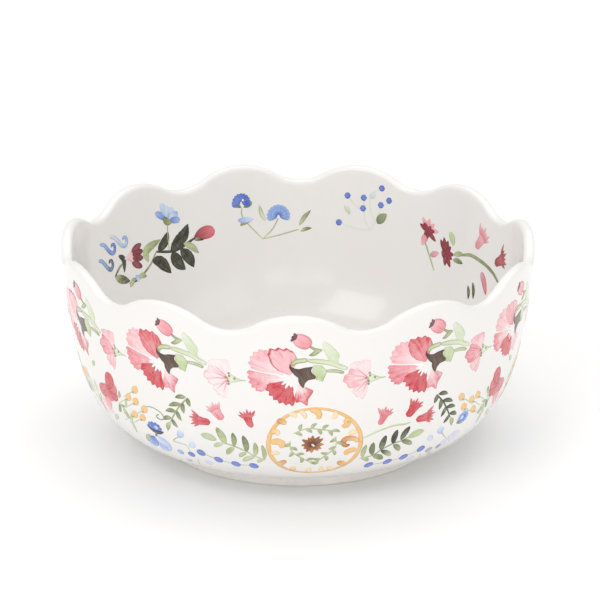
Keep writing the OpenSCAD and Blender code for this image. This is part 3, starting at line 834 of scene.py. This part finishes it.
def meadow(film, dark):
    """A hanging fern, yellow buds on thin stalks, a blue flower and a tulip, and grasses beside them."""
    deep = (FERN, FOREST) if dark else (FERN, OLIVE)
    hanging_fern(film, -1.5 if dark else 0.0, (deep[1], deep[0]), deep)
    for base, degrees, length in (
        ((15.8, -12.6), 84, 7.0),
        ((17.2, -8.4), 112, 5.8),
        ((16.8, -6.0), 62, 4.8),
        ((17.4, -1.6), 104, 4.6),
    ):
        leaf(film, base, polar(base, length, degrees), 1.2, (CELADON, SAGE), outline=0.25)
    if dark:
        for centre in ((-0.4, 5.4), (9.2, 3.0), (6.0, 2.2), (2.2, 0.4), (8.6, -2.8)):
            yellow_bud(film, centre, 1.95)
        for k in range(8):
            degrees = 45 * k + 10
            ends = [polar((3.3, -4.7), 0.4, degrees), polar((3.3, -4.7), 2.9, degrees)]
            film.blade(ends, 2.1, (COBALT, SKY), form=leaf_form(0.6, 0.5), outline=0.45, vein=0.4)
        spot(film, (2.8, -4.6), 0.9, (ICE, ICE), outline=0.1)
        leaf(film, (0.4, -6.0), (3.0, -7.4), 1.4, (FERN, OLIVE))
        film.petal((2.0, -16.4), 44, 128, 5.8, (LILAC, LILAC), teeth=4, tooth=0.9, outline=0.25)
        film.petal((0.4, -17.0), 100, 160, 4.8, (ICE, LILAC), teeth=3, tooth=0.9, outline=0.2)
        return
    tendril = [
        (6.2, 2.8), (2.8, 3.4), (-0.6, 2.2), (-1.6, 0.4), (-0.4, -0.8), (1.4, -0.6), (1.6, 0.4), (0.4, 1.2),
    ]
    stalk(film, tendril, 0.45, (OLIVE, FERN))
    for centre in ((10.3, 8.6), (14.6, 4.2), (11.0, 3.6), (7.2, 1.6), (9.2, -2.6), (13.2, -2.6)):
        yellow_bud(film, centre, 1.95)
    film.petal((4.0, -7.2), 20, 160, 4.3, (COBALT, COBALT), teeth=6, tooth=0.6, outline=0.5)
    spot(film, (3.4, -5.4), 0.9, (ICE, SKY), outline=0.1)
    film.blade([(0.4, -6.6), (4.0, -7.6), (7.8, -5.8)], 1.8, (NAVY, NAVY), outline=0.3, jag=0.06)
    stalk(film, [(4.0, -7.6), (5.0, -10.4)], 0.9, (FERN, FERN))
    for line, width, inks in (
        ([(5.6, -10.4), (2.0, -13.0), (5.0, -17.4)], 5.0, (ICE, SKY)),
        ([(6.4, -10.4), (7.6, -14.0), (10.4, -16.0)], 4.0, (COBALT, SKY)),
    ):
        film.blade(line, width, inks, form=ROUND, outline=0.4, vein=0.6)
    film.blade([(8.0, -10.2), (10.4, -12.6), (11.0, -15.4)], 1.6, (SAGE, OLIVE), outline=0.3)


def peony(film, shift):
    """A loose red blossom with round lobes over a trailing pink petal, and leaves beside it."""
    x, y = shift
    film.lobe(
        (x + 1.6, y - 4.6),
        [(x + 2.4, y - 11.8), (x + 7.2, y - 12.6), (x + 12.8, y - 11.4), (x + 9.6, y - 8.2),
         (x + 6.0, y - 5.4)],
        (BLUSH, SHELL), teeth=4, tooth=0.6, outline=0.35,
    )
    trailing = [(x + 1.2, y - 3.6), (x + 3.6, y - 8.0), (x + 4.6, y - 11.2)]
    film.blade(trailing, 4.2, (ROSE, BLUSH), outline=0.3, vein=0.7)
    for length, width, degrees, inks in (
        (8.4, 5.4, -30, (CORAL, CRIMSON)),
        (5.6, 5.0, -84, (CRIMSON, CORAL)),
        (6.0, 5.4, 212, (CRIMSON, CRIMSON)),
        (6.4, 5.2, 158, (CRIMSON, CORAL)),
        (8.0, 5.2, 120, (CRIMSON, CRIMSON)),
    ):
        tip = polar((x, y), length, degrees)
        film.blade([polar((x, y), 0.8, degrees + 180), tip], width, inks, form=DROP, outline=0.5, vein=0.6)
    for degrees in (-30, 40, 110, 170, 230):
        spike(film, polar((x, y), 0.3, degrees), polar((x, y), 2.4, degrees), 0.5, (MAROON, CRIMSON))
    leaves(film, (
        ((x - 6.2, y - 1.8), (x - 7.4, y + 1.4), 1.3, (SAGE, OLIVE)),
        ((x - 3.4, y - 8.8), (x - 5.2, y - 4.8), 1.5, (OLIVE, FERN)),
        ((x - 5.0, y - 4.8), (x - 8.6, y - 4.4), 1.3, (SAGE, OLIVE)),
        ((x - 7.0, y - 6.0), (x - 9.0, y - 9.6), 2.0, (SAGE, OLIVE)),
        ((x - 0.6, y - 11.6), (x + 3.0, y - 15.0), 2.0, (CELADON, SAGE)),
        ((x + 6.4, y + 7.8), (x + 9.0, y + 5.6), 1.8, (SAGE, SAGE)),
    ), outline=0.35)


def inner_bells(film):
    """Two bells over a curved green stem, and a pink stalk with dark leaves below."""
    stem = [(-20.0, -5.0), (-15.0, -3.6), (-9.0, -3.9), (-4.0, -4.4), (2.0, -5.6), (7.4, -7.4)]
    stalk(film, stem, 1.4, (OLIVE, FERN), outline=0.3)
    bell(film, (1.6, -1.6), 33, 11.0, (GARNET, CRIMSON), mouth=0.5)
    bell(film, (-12.6, 0.0), 58, 10.6, (ROSE, BLUSH), mouth=0.5)
    pink = [(-0.4, -14.6), (-3.6, -10.6), (-6.6, -7.8)]
    film.blade(pink, 3.0, (CORAL, MAUVE), form=leaf_form(0.6, 0.5), outline=0.4)
    leaf(film, (-10.6, -13.0), (-8.0, -18.8), 1.7, (FERN, FOREST), outline=0.4)
    leaf(film, (-13.0, -15.0), (-10.8, -19.8), 1.6, (FERN, FOREST), outline=0.4)


def star(film, heart, tips, width):
    """A deep red star flower: a narrow petal from its heart to each tip."""
    for tip in tips:
        film.blade([heart, tip], width, (GARNET, GARNET), form=leaf_form(0.42, 0.6), outline=0.4, vein=0.6)


def inner_stars(film):
    """Two deep red star flowers with pink spikes on one side, over olive leaves."""
    stalk(film, [(-6.4, -1.0), (-3.4, -6.0), (0.0, -11.4)], 0.7, (OLIVE, SAGE))
    body = [(-5.4, 2.4), (-6.6, -0.4), (-7.4, -3.0)]
    film.blade(body, 3.0, (ROSE, BLUSH), outline=0.3, vein=0.7)
    for tip in ((-8.4, 8.0), (-5.2, 8.0), (-2.6, 6.4), (-0.2, 3.8)):
        film.blade([(-5.6, 3.2), tip], 2.0, (ROSE, BLUSH), form=leaf_form(0.4, 0.5), outline=0.3, vein=0.5)
    small_star = ((-9.4, 5.2), (-7.0, 1.4), (-4.2, 5.2), (-5.2, 0.2), (-2.2, 3.4), (-1.2, -0.2), (-7.6, 6.0))
    star(film, (-5.4, 3.0), small_star, 1.9)
    film.blade([(-3.0, -6.0), (1.0, -4.0)], 2.4, (MAUVE, BLUSH), outline=0.3, vein=0.7)
    spot(film, (4.4, -3.5), 2.2, (GARNET, MAROON), outline=0.4)
    large_star = (
        (1.0, 1.2), (2.6, 2.4), (4.8, 1.6), (6.6, -0.2), (8.6, -3.0), (8.0, -5.0), (7.6, -8.2), (4.8, -8.2),
    )
    star(film, (4.4, -3.5), large_star, 2.1)
    leaves(film, (
        ((5.2, 5.2), (8.0, 0.4), 2.8, (CELADON, SAGE)),
        ((8.6, -3.0), (14.0, -1.6), 2.0, (SAGE, OLIVE)),
        ((8.6, -5.0), (14.0, -5.0), 2.0, (OLIVE, FERN)),
    ))


def inner_berries(film):
    """Loose blue berries on pale branching stalks, over a dark leaf."""
    for line in (
        [(2.0, -9.0), (4.6, -3.4), (5.8, 1.6)],
        [(5.8, 1.6), (8.4, 2.4), (9.1, 3.8)],
        [(3.6, -5.6), (1.2, 2.4), (3.0, 6.4), (5.9, 8.2)],
        [(2.0, -9.0), (-0.6, -4.0), (-1.3, 3.7)],
        [(-0.6, -2.0), (-4.6, 0.6), (-7.8, 4.0)],
        [(2.0, -9.0), (-4.6, -8.4), (-10.7, -6.8)],
    ):
        stalk(film, line, 0.36, (MIST, MIST))
    spot(film, (2.3, 5.0), 1.3, (ICE, MIST), outline=0.1)
    loose = ((5.9, 8.2), (9.1, 3.8), (5.8, 1.6), (-1.3, 3.7), (-1.4, -0.5), (-7.8, 4.0), (-10.7, -6.8))
    for centre in loose:
        spot(film, centre, 1.25, (COBALT, COBALT))
    leaf(film, (4.8, -5.8), (8.4, -1.6), 3.4, (FERN, OLIVE), outline=0.4)
    leaf(film, (-9.0, 0.2), (-6.6, -3.4), 1.6, (MIST, CELADON), outline=0.1)


def inner_cornflowers(film):
    """Two blue domed cornflowers, a paler one below, and thin leaves."""
    for line in (
        [(-6.8, 1.0), (-6.1, -3.5), (1.2, -12.0)],
        [(7.6, -4.0), (5.0, -8.4), (1.2, -12.0)],
        [(15.4, -8.6), (8.0, -10.6), (1.2, -12.0)],
    ):
        stalk(film, line, 0.45, (OLIVE, SAGE))
    leaves(film, (
        ((2.4, -5.0), (0.2, 1.6), 1.7, (MIST, SAGE)),
        ((15.6, -7.0), (20.2, -1.0), 1.7, (SAGE, FERN)),
        ((16.0, -9.4), (20.4, -8.0), 1.4, (SAGE, FERN)),
        ((-7.6, -6.0), (-3.4, -4.8), 1.6, (OLIVE, OLIVE)),
        ((-10.8, 2.4), (-7.0, 1.0), 1.8, (OLIVE, FERN)),
        ((-2.6, 3.0), (-6.0, 1.0), 1.8, (OLIVE, FERN)),
    ), outline=0.4)
    spot(film, (-5.4, -4.0), 3.0, (SKY, ICE), tall=0.4, outline=0.3)
    dome(film, (-6.9, 2.9), -28, 208, 3.8, (COBALT, COBALT))
    dome(film, (7.6, -3.2), -20, 200, 4.6, (COBALT, SKY))
    for centre in ((-6.2, 3.8), (7.6, -3.8)):
        spot(film, centre, 0.45, (WHITE, WHITE), outline=0)


def curled_floret(film, base, inks):
    """A blue floret that hangs in a curl."""
    curl = [
        (-8.6, 4.2), (-5.6, 3.0), (-2.2, -0.6), (-0.2, -1.6),
        (1.3, -0.6), (1.0, 1.2), (-0.4, 1.6), (-1.0, 0.8),
    ]
    line = [(base[0] + x, base[1] + y) for x, y in curl]
    film.blade(line, 1.7, inks, form=leaf_form(0.45, 0.22), outline=0.5, vein=0.3)


def inner_tulips(film):
    """A dark leafy spray with a tulip, a red bud, a blue cornflower and curled blue florets."""
    deep = (FOREST, FOREST)
    dusk = (OLIVE, FOREST)
    olive = (SAGE, OLIVE)
    stalk(film, [(-12.2, -1.0), (-15.6, -2.2), (-19.0, -4.6)], 1.0, dusk, outline=0.2)
    stalk(film, [(5.6, -1.6), (12.4, -3.0), (17.0, -2.6), (24.0, 0.2)], 1.1, deep, outline=0.2)
    stalk(film, [(5.6, -1.6), (1.4, -6.0), (-5.4, -9.4), (-11.0, -9.6)], 0.8, dusk, outline=0.2)
    for width, inks, line in (
        (2.4, deep, [(-15.0, 2.4), (-12.2, 0.0), (-12.8, -4.8)]),
        (3.4, dusk, [(-19.0, -4.8), (-14.6, -7.0), (-10.4, -8.8)]),
        (2.2, olive, [(-11.0, -11.0), (-9.0, -9.4), (-6.8, -8.6)]),
        (2.2, olive, [(-5.4, -8.6), (-3.2, -8.6), (-1.0, -9.6)]),
        (3.4, olive, [(1.0, -4.6), (0.8, 0.0), (8.4, 2.6)]),
        (4.6, deep, [(3.0, -4.4), (7.0, -6.0), (11.0, -11.2)]),
        (3.8, deep, [(6.6, -1.2), (10.0, 1.0), (12.4, 4.8)]),
        (5.0, deep, [(12.4, -3.0), (14.0, -2.0), (19.0, 2.0), (21.6, 6.0)]),
        (5.0, deep, [(13.0, -3.4), (15.0, -8.0), (17.6, -11.2)]),
        (4.6, deep, [(17.0, -3.0), (20.0, -7.0), (21.4, -11.0)]),
        (2.6, olive, [(18.6, -1.0), (22.0, -3.0), (24.6, -6.0)]),
    ):
        film.blade(line, width, inks, outline=0.4, vein=0.5, jag=0.05)
    leaf(film, (-6.8, -7.6), (-5.6, -10.4), 2.0, (SKY, ICE), form=ROUND)
    film.blade([(23.4, 0.0), (28.0, 1.4), (32.6, 1.8)], 5.2, (GARNET, CORAL), form=DROP, outline=0.5)
    leaf(film, (23.4, -0.6), (27.4, -1.2), 1.5, (OLIVE, FOREST), outline=0.4)
    for tip, inks in (
        ((7.4, 13.4), (COBALT, SKY)),
        ((10.4, 16.4), (SKY, ICE)),
        ((12.6, 15.0), (ICE, ICE)),
        ((15.2, 14.0), (SKY, ICE)),
        ((17.6, 11.6), (ICE, SKY)),
        ((18.4, 8.4), (COBALT, SKY)),
    ):
        film.blade([(13.4, 9.0), tip], 2.7, inks, form=leaf_form(0.6, 0.5), outline=0.4, vein=0.6)
    film.blade([(11.4, 11.0), (12.4, 8.6), (14.8, 8.0)], 2.6, (FERN, OLIVE), outline=0.4)
    stalk(film, [(12.6, 8.4), (12.0, 3.0), (11.8, -2.6)], 0.4, (OLIVE, SAGE))
    heart = (-12.2, 0.2)
    film.petal(heart, -28, 22, 7.6, (SHELL, BLUSH), teeth=4, tooth=0.8, outline=0.35)
    for degrees in (16, 2, -12, -30):
        ends = [polar(heart, 5.2, degrees), polar(heart, 11.2, degrees)]
        film.blade(ends, 2.7, (GARNET, MAROON), form=leaf_form(0.5, 0.6), outline=0.5)
    curled_floret(film, (-20.8, 0.6), (SKY, NAVY))
    curled_floret(film, (-18.0, 6.0), (SKY, COBALT))
    curled_floret(film, (-10.4, 6.6), (ICE, SKY))


# ---- Materials ----


class Look:
    """A material's node tree, with a short call for each node."""

    def __init__(self, name):
        self.material = bpy.data.materials.new(name)
        self.material.use_nodes = True
        self.tree = self.material.node_tree
        self.surface = self.tree.nodes["Principled BSDF"]

    def node(self, kind, inputs=None, **settings):
        made = self.tree.nodes.new(kind)
        for key, value in settings.items():
            setattr(made, key, value)
        for key, value in (inputs or {}).items():
            self.put(made.inputs[key], value)
        return made

    def put(self, socket, value):
        if isinstance(value, bpy.types.NodeSocket):
            self.tree.links.new(value, socket)
        else:
            socket.default_value = value

    def set(self, **values):
        for key, value in values.items():
            self.put(self.surface.inputs[key.replace("_", " ")], value)

    def place(self):
        return self.node("ShaderNodeTexCoord").outputs["Object"]

    def stroke_values(self, name):
        """The three values that a film's mesh carries under this name."""
        stored = self.node("ShaderNodeAttribute", attribute_name=name).outputs["Vector"]
        return self.node("ShaderNodeSeparateXYZ", {"Vector": stored})

    def noise(self, vector, scale, detail=3.0, roughness=0.5, distortion=0.0):
        settings = {"Vector": vector, "Scale": scale, "Detail": detail}
        settings |= {"Roughness": roughness, "Distortion": distortion}
        return self.node("ShaderNodeTexNoise", settings).outputs["Fac"]

    def remap(self, value, low, high, to_low=0.0, to_high=1.0):
        settings = {"Value": value, "From Min": low, "From Max": high, "To Min": to_low, "To Max": to_high}
        return self.node("ShaderNodeMapRange", settings).outputs["Result"]

    def math(self, operation, first, second=0.0, third=0.0):
        made = self.node("ShaderNodeMath", operation=operation)
        for socket, value in zip(made.inputs, (first, second, third)):
            self.put(socket, value)
        return made.outputs[0]

    def mix(self, share, first, second, blend="MIX"):
        made = self.node("ShaderNodeMix", data_type="RGBA", blend_type=blend)
        self.put(made.inputs[0], share)
        for socket, value in ((made.inputs[6], first), (made.inputs[7], second)):
            self.put(socket, value if isinstance(value, bpy.types.NodeSocket) else (*value, 1.0))
        return made.outputs[2]

    def bump(self, height, strength, distance):
        settings = {"Height": height, "Strength": strength, "Distance": distance}
        self.set(Normal=self.node("ShaderNodeBump", settings).outputs["Normal"])


PORCELAIN = linear(234, 232, 230)


def glaze_look():
    """Glossy white glaze: it turns greyer towards the foot, ripples a little and has a few pale specks."""
    look = Look("white_glaze")
    place = look.place()
    height = look.node("ShaderNodeSeparateXYZ", {"Vector": place}).outputs["Z"]
    drift = look.noise(place, 26, detail=2)
    colour = look.mix(look.remap(drift, 0.3, 0.7), PORCELAIN, linear(235, 232, 228))
    # Greyer towards the foot: from about 20 mm height down to the foot, the colour is mixed more and more
    # towards a light grey.
    foot_grey_share = look.remap(look.math("MULTIPLY_ADD", drift, 0.006, height), 0.004, 0.020, 0.35, 0.0)
    colour = look.mix(foot_grey_share, colour, linear(220, 219, 217))
    cells = look.node("ShaderNodeTexVoronoi", {"Vector": place, "Scale": 150.0})
    draw = look.node("ShaderNodeSeparateColor", {"Color": cells.outputs["Color"]}).outputs[0]
    chosen = look.math("GREATER_THAN", draw, 0.93)
    speck = look.math("MULTIPLY", chosen, look.remap(cells.outputs["Distance"], 0.018, 0.04, 0.35, 0.0))
    look.set(Base_Color=look.mix(speck, colour, linear(176, 160, 142)))
    look.set(Roughness=look.remap(look.noise(place, 90, detail=4), 0.3, 0.7, 0.16, 0.24))
    look.set(IOR=1.52, Coat_Weight=0.35, Coat_Roughness=0.05)
    ripple = look.noise(place, 120, detail=1)
    grain = look.noise(place, 900, detail=2)
    look.bump(look.math("MULTIPLY_ADD", grain, 0.02, ripple), 0.2, 0.0003)
    return look.material


def clay_look(name, colour, shade, grain_scale):
    """Unglazed fired clay: matt, with a fine grain and faint drifts of tone."""
    look = Look(name)
    place = look.place()
    grain = look.noise(place, grain_scale, detail=5, roughness=0.65)
    drift = look.noise(place, 60, detail=3)
    tone = look.mix(look.remap(drift, 0.35, 0.65), colour, shade)
    dots = look.remap(look.noise(place, grain_scale * 0.6, detail=1), 0.68, 0.74, 0.0, 0.2)
    look.set(Base_Color=look.mix(dots, tone, linear(150, 138, 122)))
    look.set(Roughness=look.remap(grain, 0.2, 0.8, 0.62, 0.85))
    look.bump(grain, 0.5, 0.00012)
    return look.material


def pigment_look(name, roughness):
    """Fired watercolour pigment over white glaze, painted by each stroke's own two pigments.

    Along the stroke one pigment runs into the other, thin veins follow it, colour gathers at its
    outline, and where the wash is thin the white shows through.
    """
    look = Look(name)
    place = look.place()
    first = look.node("ShaderNodeAttribute", attribute_name="pigment_a")
    last = look.node("ShaderNodeAttribute", attribute_name="pigment_b")
    brush = look.stroke_values("brush")
    edge = look.stroke_values("edge")
    rim, outline, vein = edge.outputs["X"], edge.outputs["Y"], edge.outputs["Z"]
    bloom = look.noise(place, 420, detail=4, roughness=0.6, distortion=0.4)
    granule = look.noise(place, 2600, detail=3, roughness=0.7)
    run = look.math("MULTIPLY_ADD", look.math("SUBTRACT", bloom, 0.5), 0.9, brush.outputs["X"])
    share = look.remap(run, 0.12, 0.92)
    colour = look.mix(share, first.outputs["Color"], last.outputs["Color"])
    across = look.math("MULTIPLY", brush.outputs["Y"], 9.0)
    along = look.math("MULTIPLY", brush.outputs["X"], 1.6)
    strand_place = {"X": across, "Y": along, "Z": brush.outputs["Z"]}
    strand = look.node("ShaderNodeCombineXYZ", strand_place).outputs["Vector"]
    streak = look.remap(look.noise(strand, 1.0, detail=3), 0.46, 0.66)
    streak = look.math("MULTIPLY", streak, look.math("MULTIPLY", vein, 0.62))
    ragged = look.math("MULTIPLY_ADD", look.math("SUBTRACT", granule, 0.5), 0.3, rim)
    near_rim = look.remap(ragged, 0.02, 0.55, 1.0, 0.0)
    line = look.math("MULTIPLY", near_rim, look.math("MULTIPLY", outline, 0.8))
    dark = look.math("MAXIMUM", streak, line)
    deep = look.mix(1.0, colour, (0.62, 0.50, 0.50), blend="MULTIPLY")
    colour = look.mix(dark, colour, deep)
    wash = look.node("ShaderNodeMix", data_type="FLOAT")
    look.put(wash.inputs[0], share)
    look.put(wash.inputs[2], first.outputs["Alpha"])
    look.put(wash.inputs[3], last.outputs["Alpha"])
    bare = look.math("SUBTRACT", 1.08, wash.outputs[0])
    blooms = look.remap(bloom, 0.34, 0.72, 1.25, -0.15)
    patchy = look.math("ADD", blooms, look.remap(granule, 0.3, 0.6, 0.3, 0.0))
    cover = look.math("MULTIPLY_ADD", bare, look.math("MULTIPLY", patchy, -1.0), wash.outputs[0])
    cover = look.math("ADD", cover, look.math("MULTIPLY", dark, 0.35))
    cover = look.node("ShaderNodeClamp", {"Value": cover}).outputs[0]
    look.set(Base_Color=look.mix(cover, PORCELAIN, colour))
    look.set(Roughness=look.remap(granule, 0.25, 0.75, roughness, roughness + 0.08))
    look.set(IOR=1.52, Coat_Weight=0.12, Coat_Roughness=0.06)
    look.bump(granule, 0.12, 0.00004)
    return look.material


# ---- The bowl ----


def finish_piece(piece, node):
    """Joins a piece to the bowl and hides the CAD node that it stands in for."""
    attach(piece, "root")
    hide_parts(node)


def finish_film(film, name, looks, slot, node):
    finish_piece(film.build(name, looks[slot]), node)


def build_clay_and_glaze():
    azimuths = np.linspace(0, 360, AZIMUTHS, endpoint=False)
    coarse = np.linspace(0, 360, AZIMUTHS // 2, endpoint=False)
    glaze = glaze_look()
    biscuit = clay_look("foot_biscuit", linear(250, 247, 241), linear(243, 239, 232), 2400)
    clay = clay_look("fired_clay", linear(238, 236, 231), linear(230, 227, 221), 1800)
    for piece, material, slot, node in (
        (clay_body(azimuths), clay, "porcelain", "porcelain_body"),
        (foot(coarse), biscuit, "biscuit", "foot_ring"),
        (glaze_skin(azimuths), glaze, "glaze", "glaze_coat"),
        (underside_glaze(coarse), glaze, "glaze", "base_glaze"),
    ):
        piece.data.materials.append(material)
        finish_piece(piece, node)


def build_garland(looks):
    for k in range(SCALLOPS):
        crest = k * SCALLOP_PITCH
        film = Film(False, crest, GARLAND_HEIGHT, seed=100 + k)
        carnation(film, k % 3)
        finish_film(film, f"carnation_film_{k + 1}", looks, "carnation_print", f"carnation_transfer_{k + 1}")
        film = Film(False, crest + BLOSSOM_AT, BLOSSOM_HEIGHT, seed=200 + k)
        blossom(film, k % 4)
        finish_film(film, f"blossom_film_{k + 1}", looks, "blossom_print", f"blossom_transfer_{k + 1}")


def build_borders(looks):
    kinds = (("bell", bells, 23.0, 38.0), ("berry", berries, 27.5, 24.0), ("meadow", meadow, 40.5, 40.0))
    for k in range(BORDERS):
        centre = BORDER_AT + k * 360 / BORDERS
        film = Film(False, centre, MEDALLION_HEIGHT, seed=300 + k)
        medallion(film)
        finish_film(film, f"medallion_film_{k + 1}", looks, "medallion_print", f"medallion_transfer_{k + 1}")
        flip, shift = PEONIES[k]
        film = Film(False, centre + 180 / BORDERS, PEONY_HEIGHT, flip=flip, seed=330 + k)
        peony(film, shift)
        finish_film(film, f"peony_film_{k + 1}", looks, "peony_print", f"peony_transfer_{k + 1}")
        for kind, draw, offset, height in kinds:
            slot = f"{kind}_print"
            for side, flip in (("left", -1), ("right", 1)):
                film = Film(False, centre + flip * offset, height, flip=flip, seed=400 + 10 * k + flip)
                draw(film, side == "right")
                place = f"{side}_{k + 1}"
                finish_film(film, f"{kind}_film_{place}", looks, slot, f"{kind}_transfer_{place}")


def build_inside(looks):
    kinds = (
        ("bells", inner_bells, 113, 70.0, "bell_print"),
        ("stars", inner_stars, 137, 67.0, "star_print"),
        ("berries", inner_berries, 160.5, 75.0, "berry_print"),
        ("cornflowers", inner_cornflowers, 191, 73.5, "cornflower_print"),
        ("tulips", inner_tulips, 228, 65.0, "tulip_print"),
    )
    for k in range(WREATHS):
        for order, (kind, draw, azimuth, height, slot) in enumerate(kinds):
            film = Film(True, azimuth + k * 360 / WREATHS, height, seed=500 + 10 * k + order)
            draw(film)
            finish_film(film, f"inner_{kind}_film_{k + 1}", looks, slot, f"inner_{kind}_{k + 1}")


# ---- Studio ----


def build_studio():
    floor = bpy.data.objects.new("studio_floor", bpy.data.meshes.new("studio_floor"))
    side = 6.0
    edge = [(-side, -side, 0), (side, -side, 0), (side, side, 0), (-side, side, 0)]
    floor.data.from_pydata(edge, [], [(0, 1, 2, 3)])
    bpy.context.scene.collection.objects.link(floor)
    paper = Look("white_paper")
    paper.set(Base_Color=(0.96, 0.96, 0.96, 1.0), Roughness=0.9)
    floor.data.materials.append(paper.material)
    lamps = (
        ("key_light", (-1.1, -1.3, 1.5), 1.2, 9.4),
        ("fill_light", (1.5, -1.1, 1.0), 1.4, 3.4),
        ("top_light", (0.1, 0.5, 1.9), 1.8, 10.5),
        ("front_light", (0.0, -1.4, 0.12), 1.0, 2.8),
    )
    for name, place, width, power in lamps:
        light = bpy.data.lights.new(name, "AREA")
        light.shape = "SQUARE"
        light.size = width
        light.energy = power
        lamp = bpy.data.objects.new(name, light)
        lamp.location = place
        aim = np.array([0, 0, 0.03]) - np.array(place)
        tilt = math.atan2(math.hypot(aim[0], aim[1]), -aim[2])
        lamp.rotation_euler = (tilt, 0, math.atan2(aim[1], aim[0]) - math.pi / 2)
        bpy.context.scene.collection.objects.link(lamp)
    world = bpy.data.worlds.new("studio")
    world.use_nodes = True
    world.node_tree.nodes["Background"].inputs["Color"].default_value = (1.0, 1.0, 1.0, 1.0)
    world.node_tree.nodes["Background"].inputs["Strength"].default_value = 0.80
    bpy.context.scene.world = world


def build_camera():
    camera = bpy.data.objects.new("camera", bpy.data.cameras.new("camera"))
    turn = math.radians(CAMERA_AZIMUTH)
    camera.location = (CAMERA_OUT * math.sin(turn), -CAMERA_OUT * math.cos(turn), CAMERA_UP)
    camera.rotation_euler = (math.radians(CAMERA_TILT), 0, math.radians(CAMERA_TURN))
    camera.data.lens = CAMERA_LENS
    camera.data.sensor_width = 36
    bpy.context.scene.collection.objects.link(camera)
    bpy.context.scene.camera = camera


def corners(bounds):
    return [[float(value) for value in corner] for corner in bounds]


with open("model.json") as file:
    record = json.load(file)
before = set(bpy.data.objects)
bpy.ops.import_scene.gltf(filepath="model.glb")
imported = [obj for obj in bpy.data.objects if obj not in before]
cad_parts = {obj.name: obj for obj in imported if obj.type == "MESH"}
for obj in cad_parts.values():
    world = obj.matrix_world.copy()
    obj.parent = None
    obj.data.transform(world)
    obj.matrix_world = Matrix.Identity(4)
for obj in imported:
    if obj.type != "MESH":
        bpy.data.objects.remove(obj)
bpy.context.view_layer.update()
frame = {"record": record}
bpy.context.scene.view_settings.view_transform = "Standard"
slots = [material["slot"] for material in frame["record"]["materials"] if material["slot"].endswith("_print")]
looks = {slot: pigment_look(slot, 0.17) for slot in slots}
build_clay_and_glaze()
build_garland(looks)
build_borders(looks)
build_inside(looks)
build_studio()
build_camera()
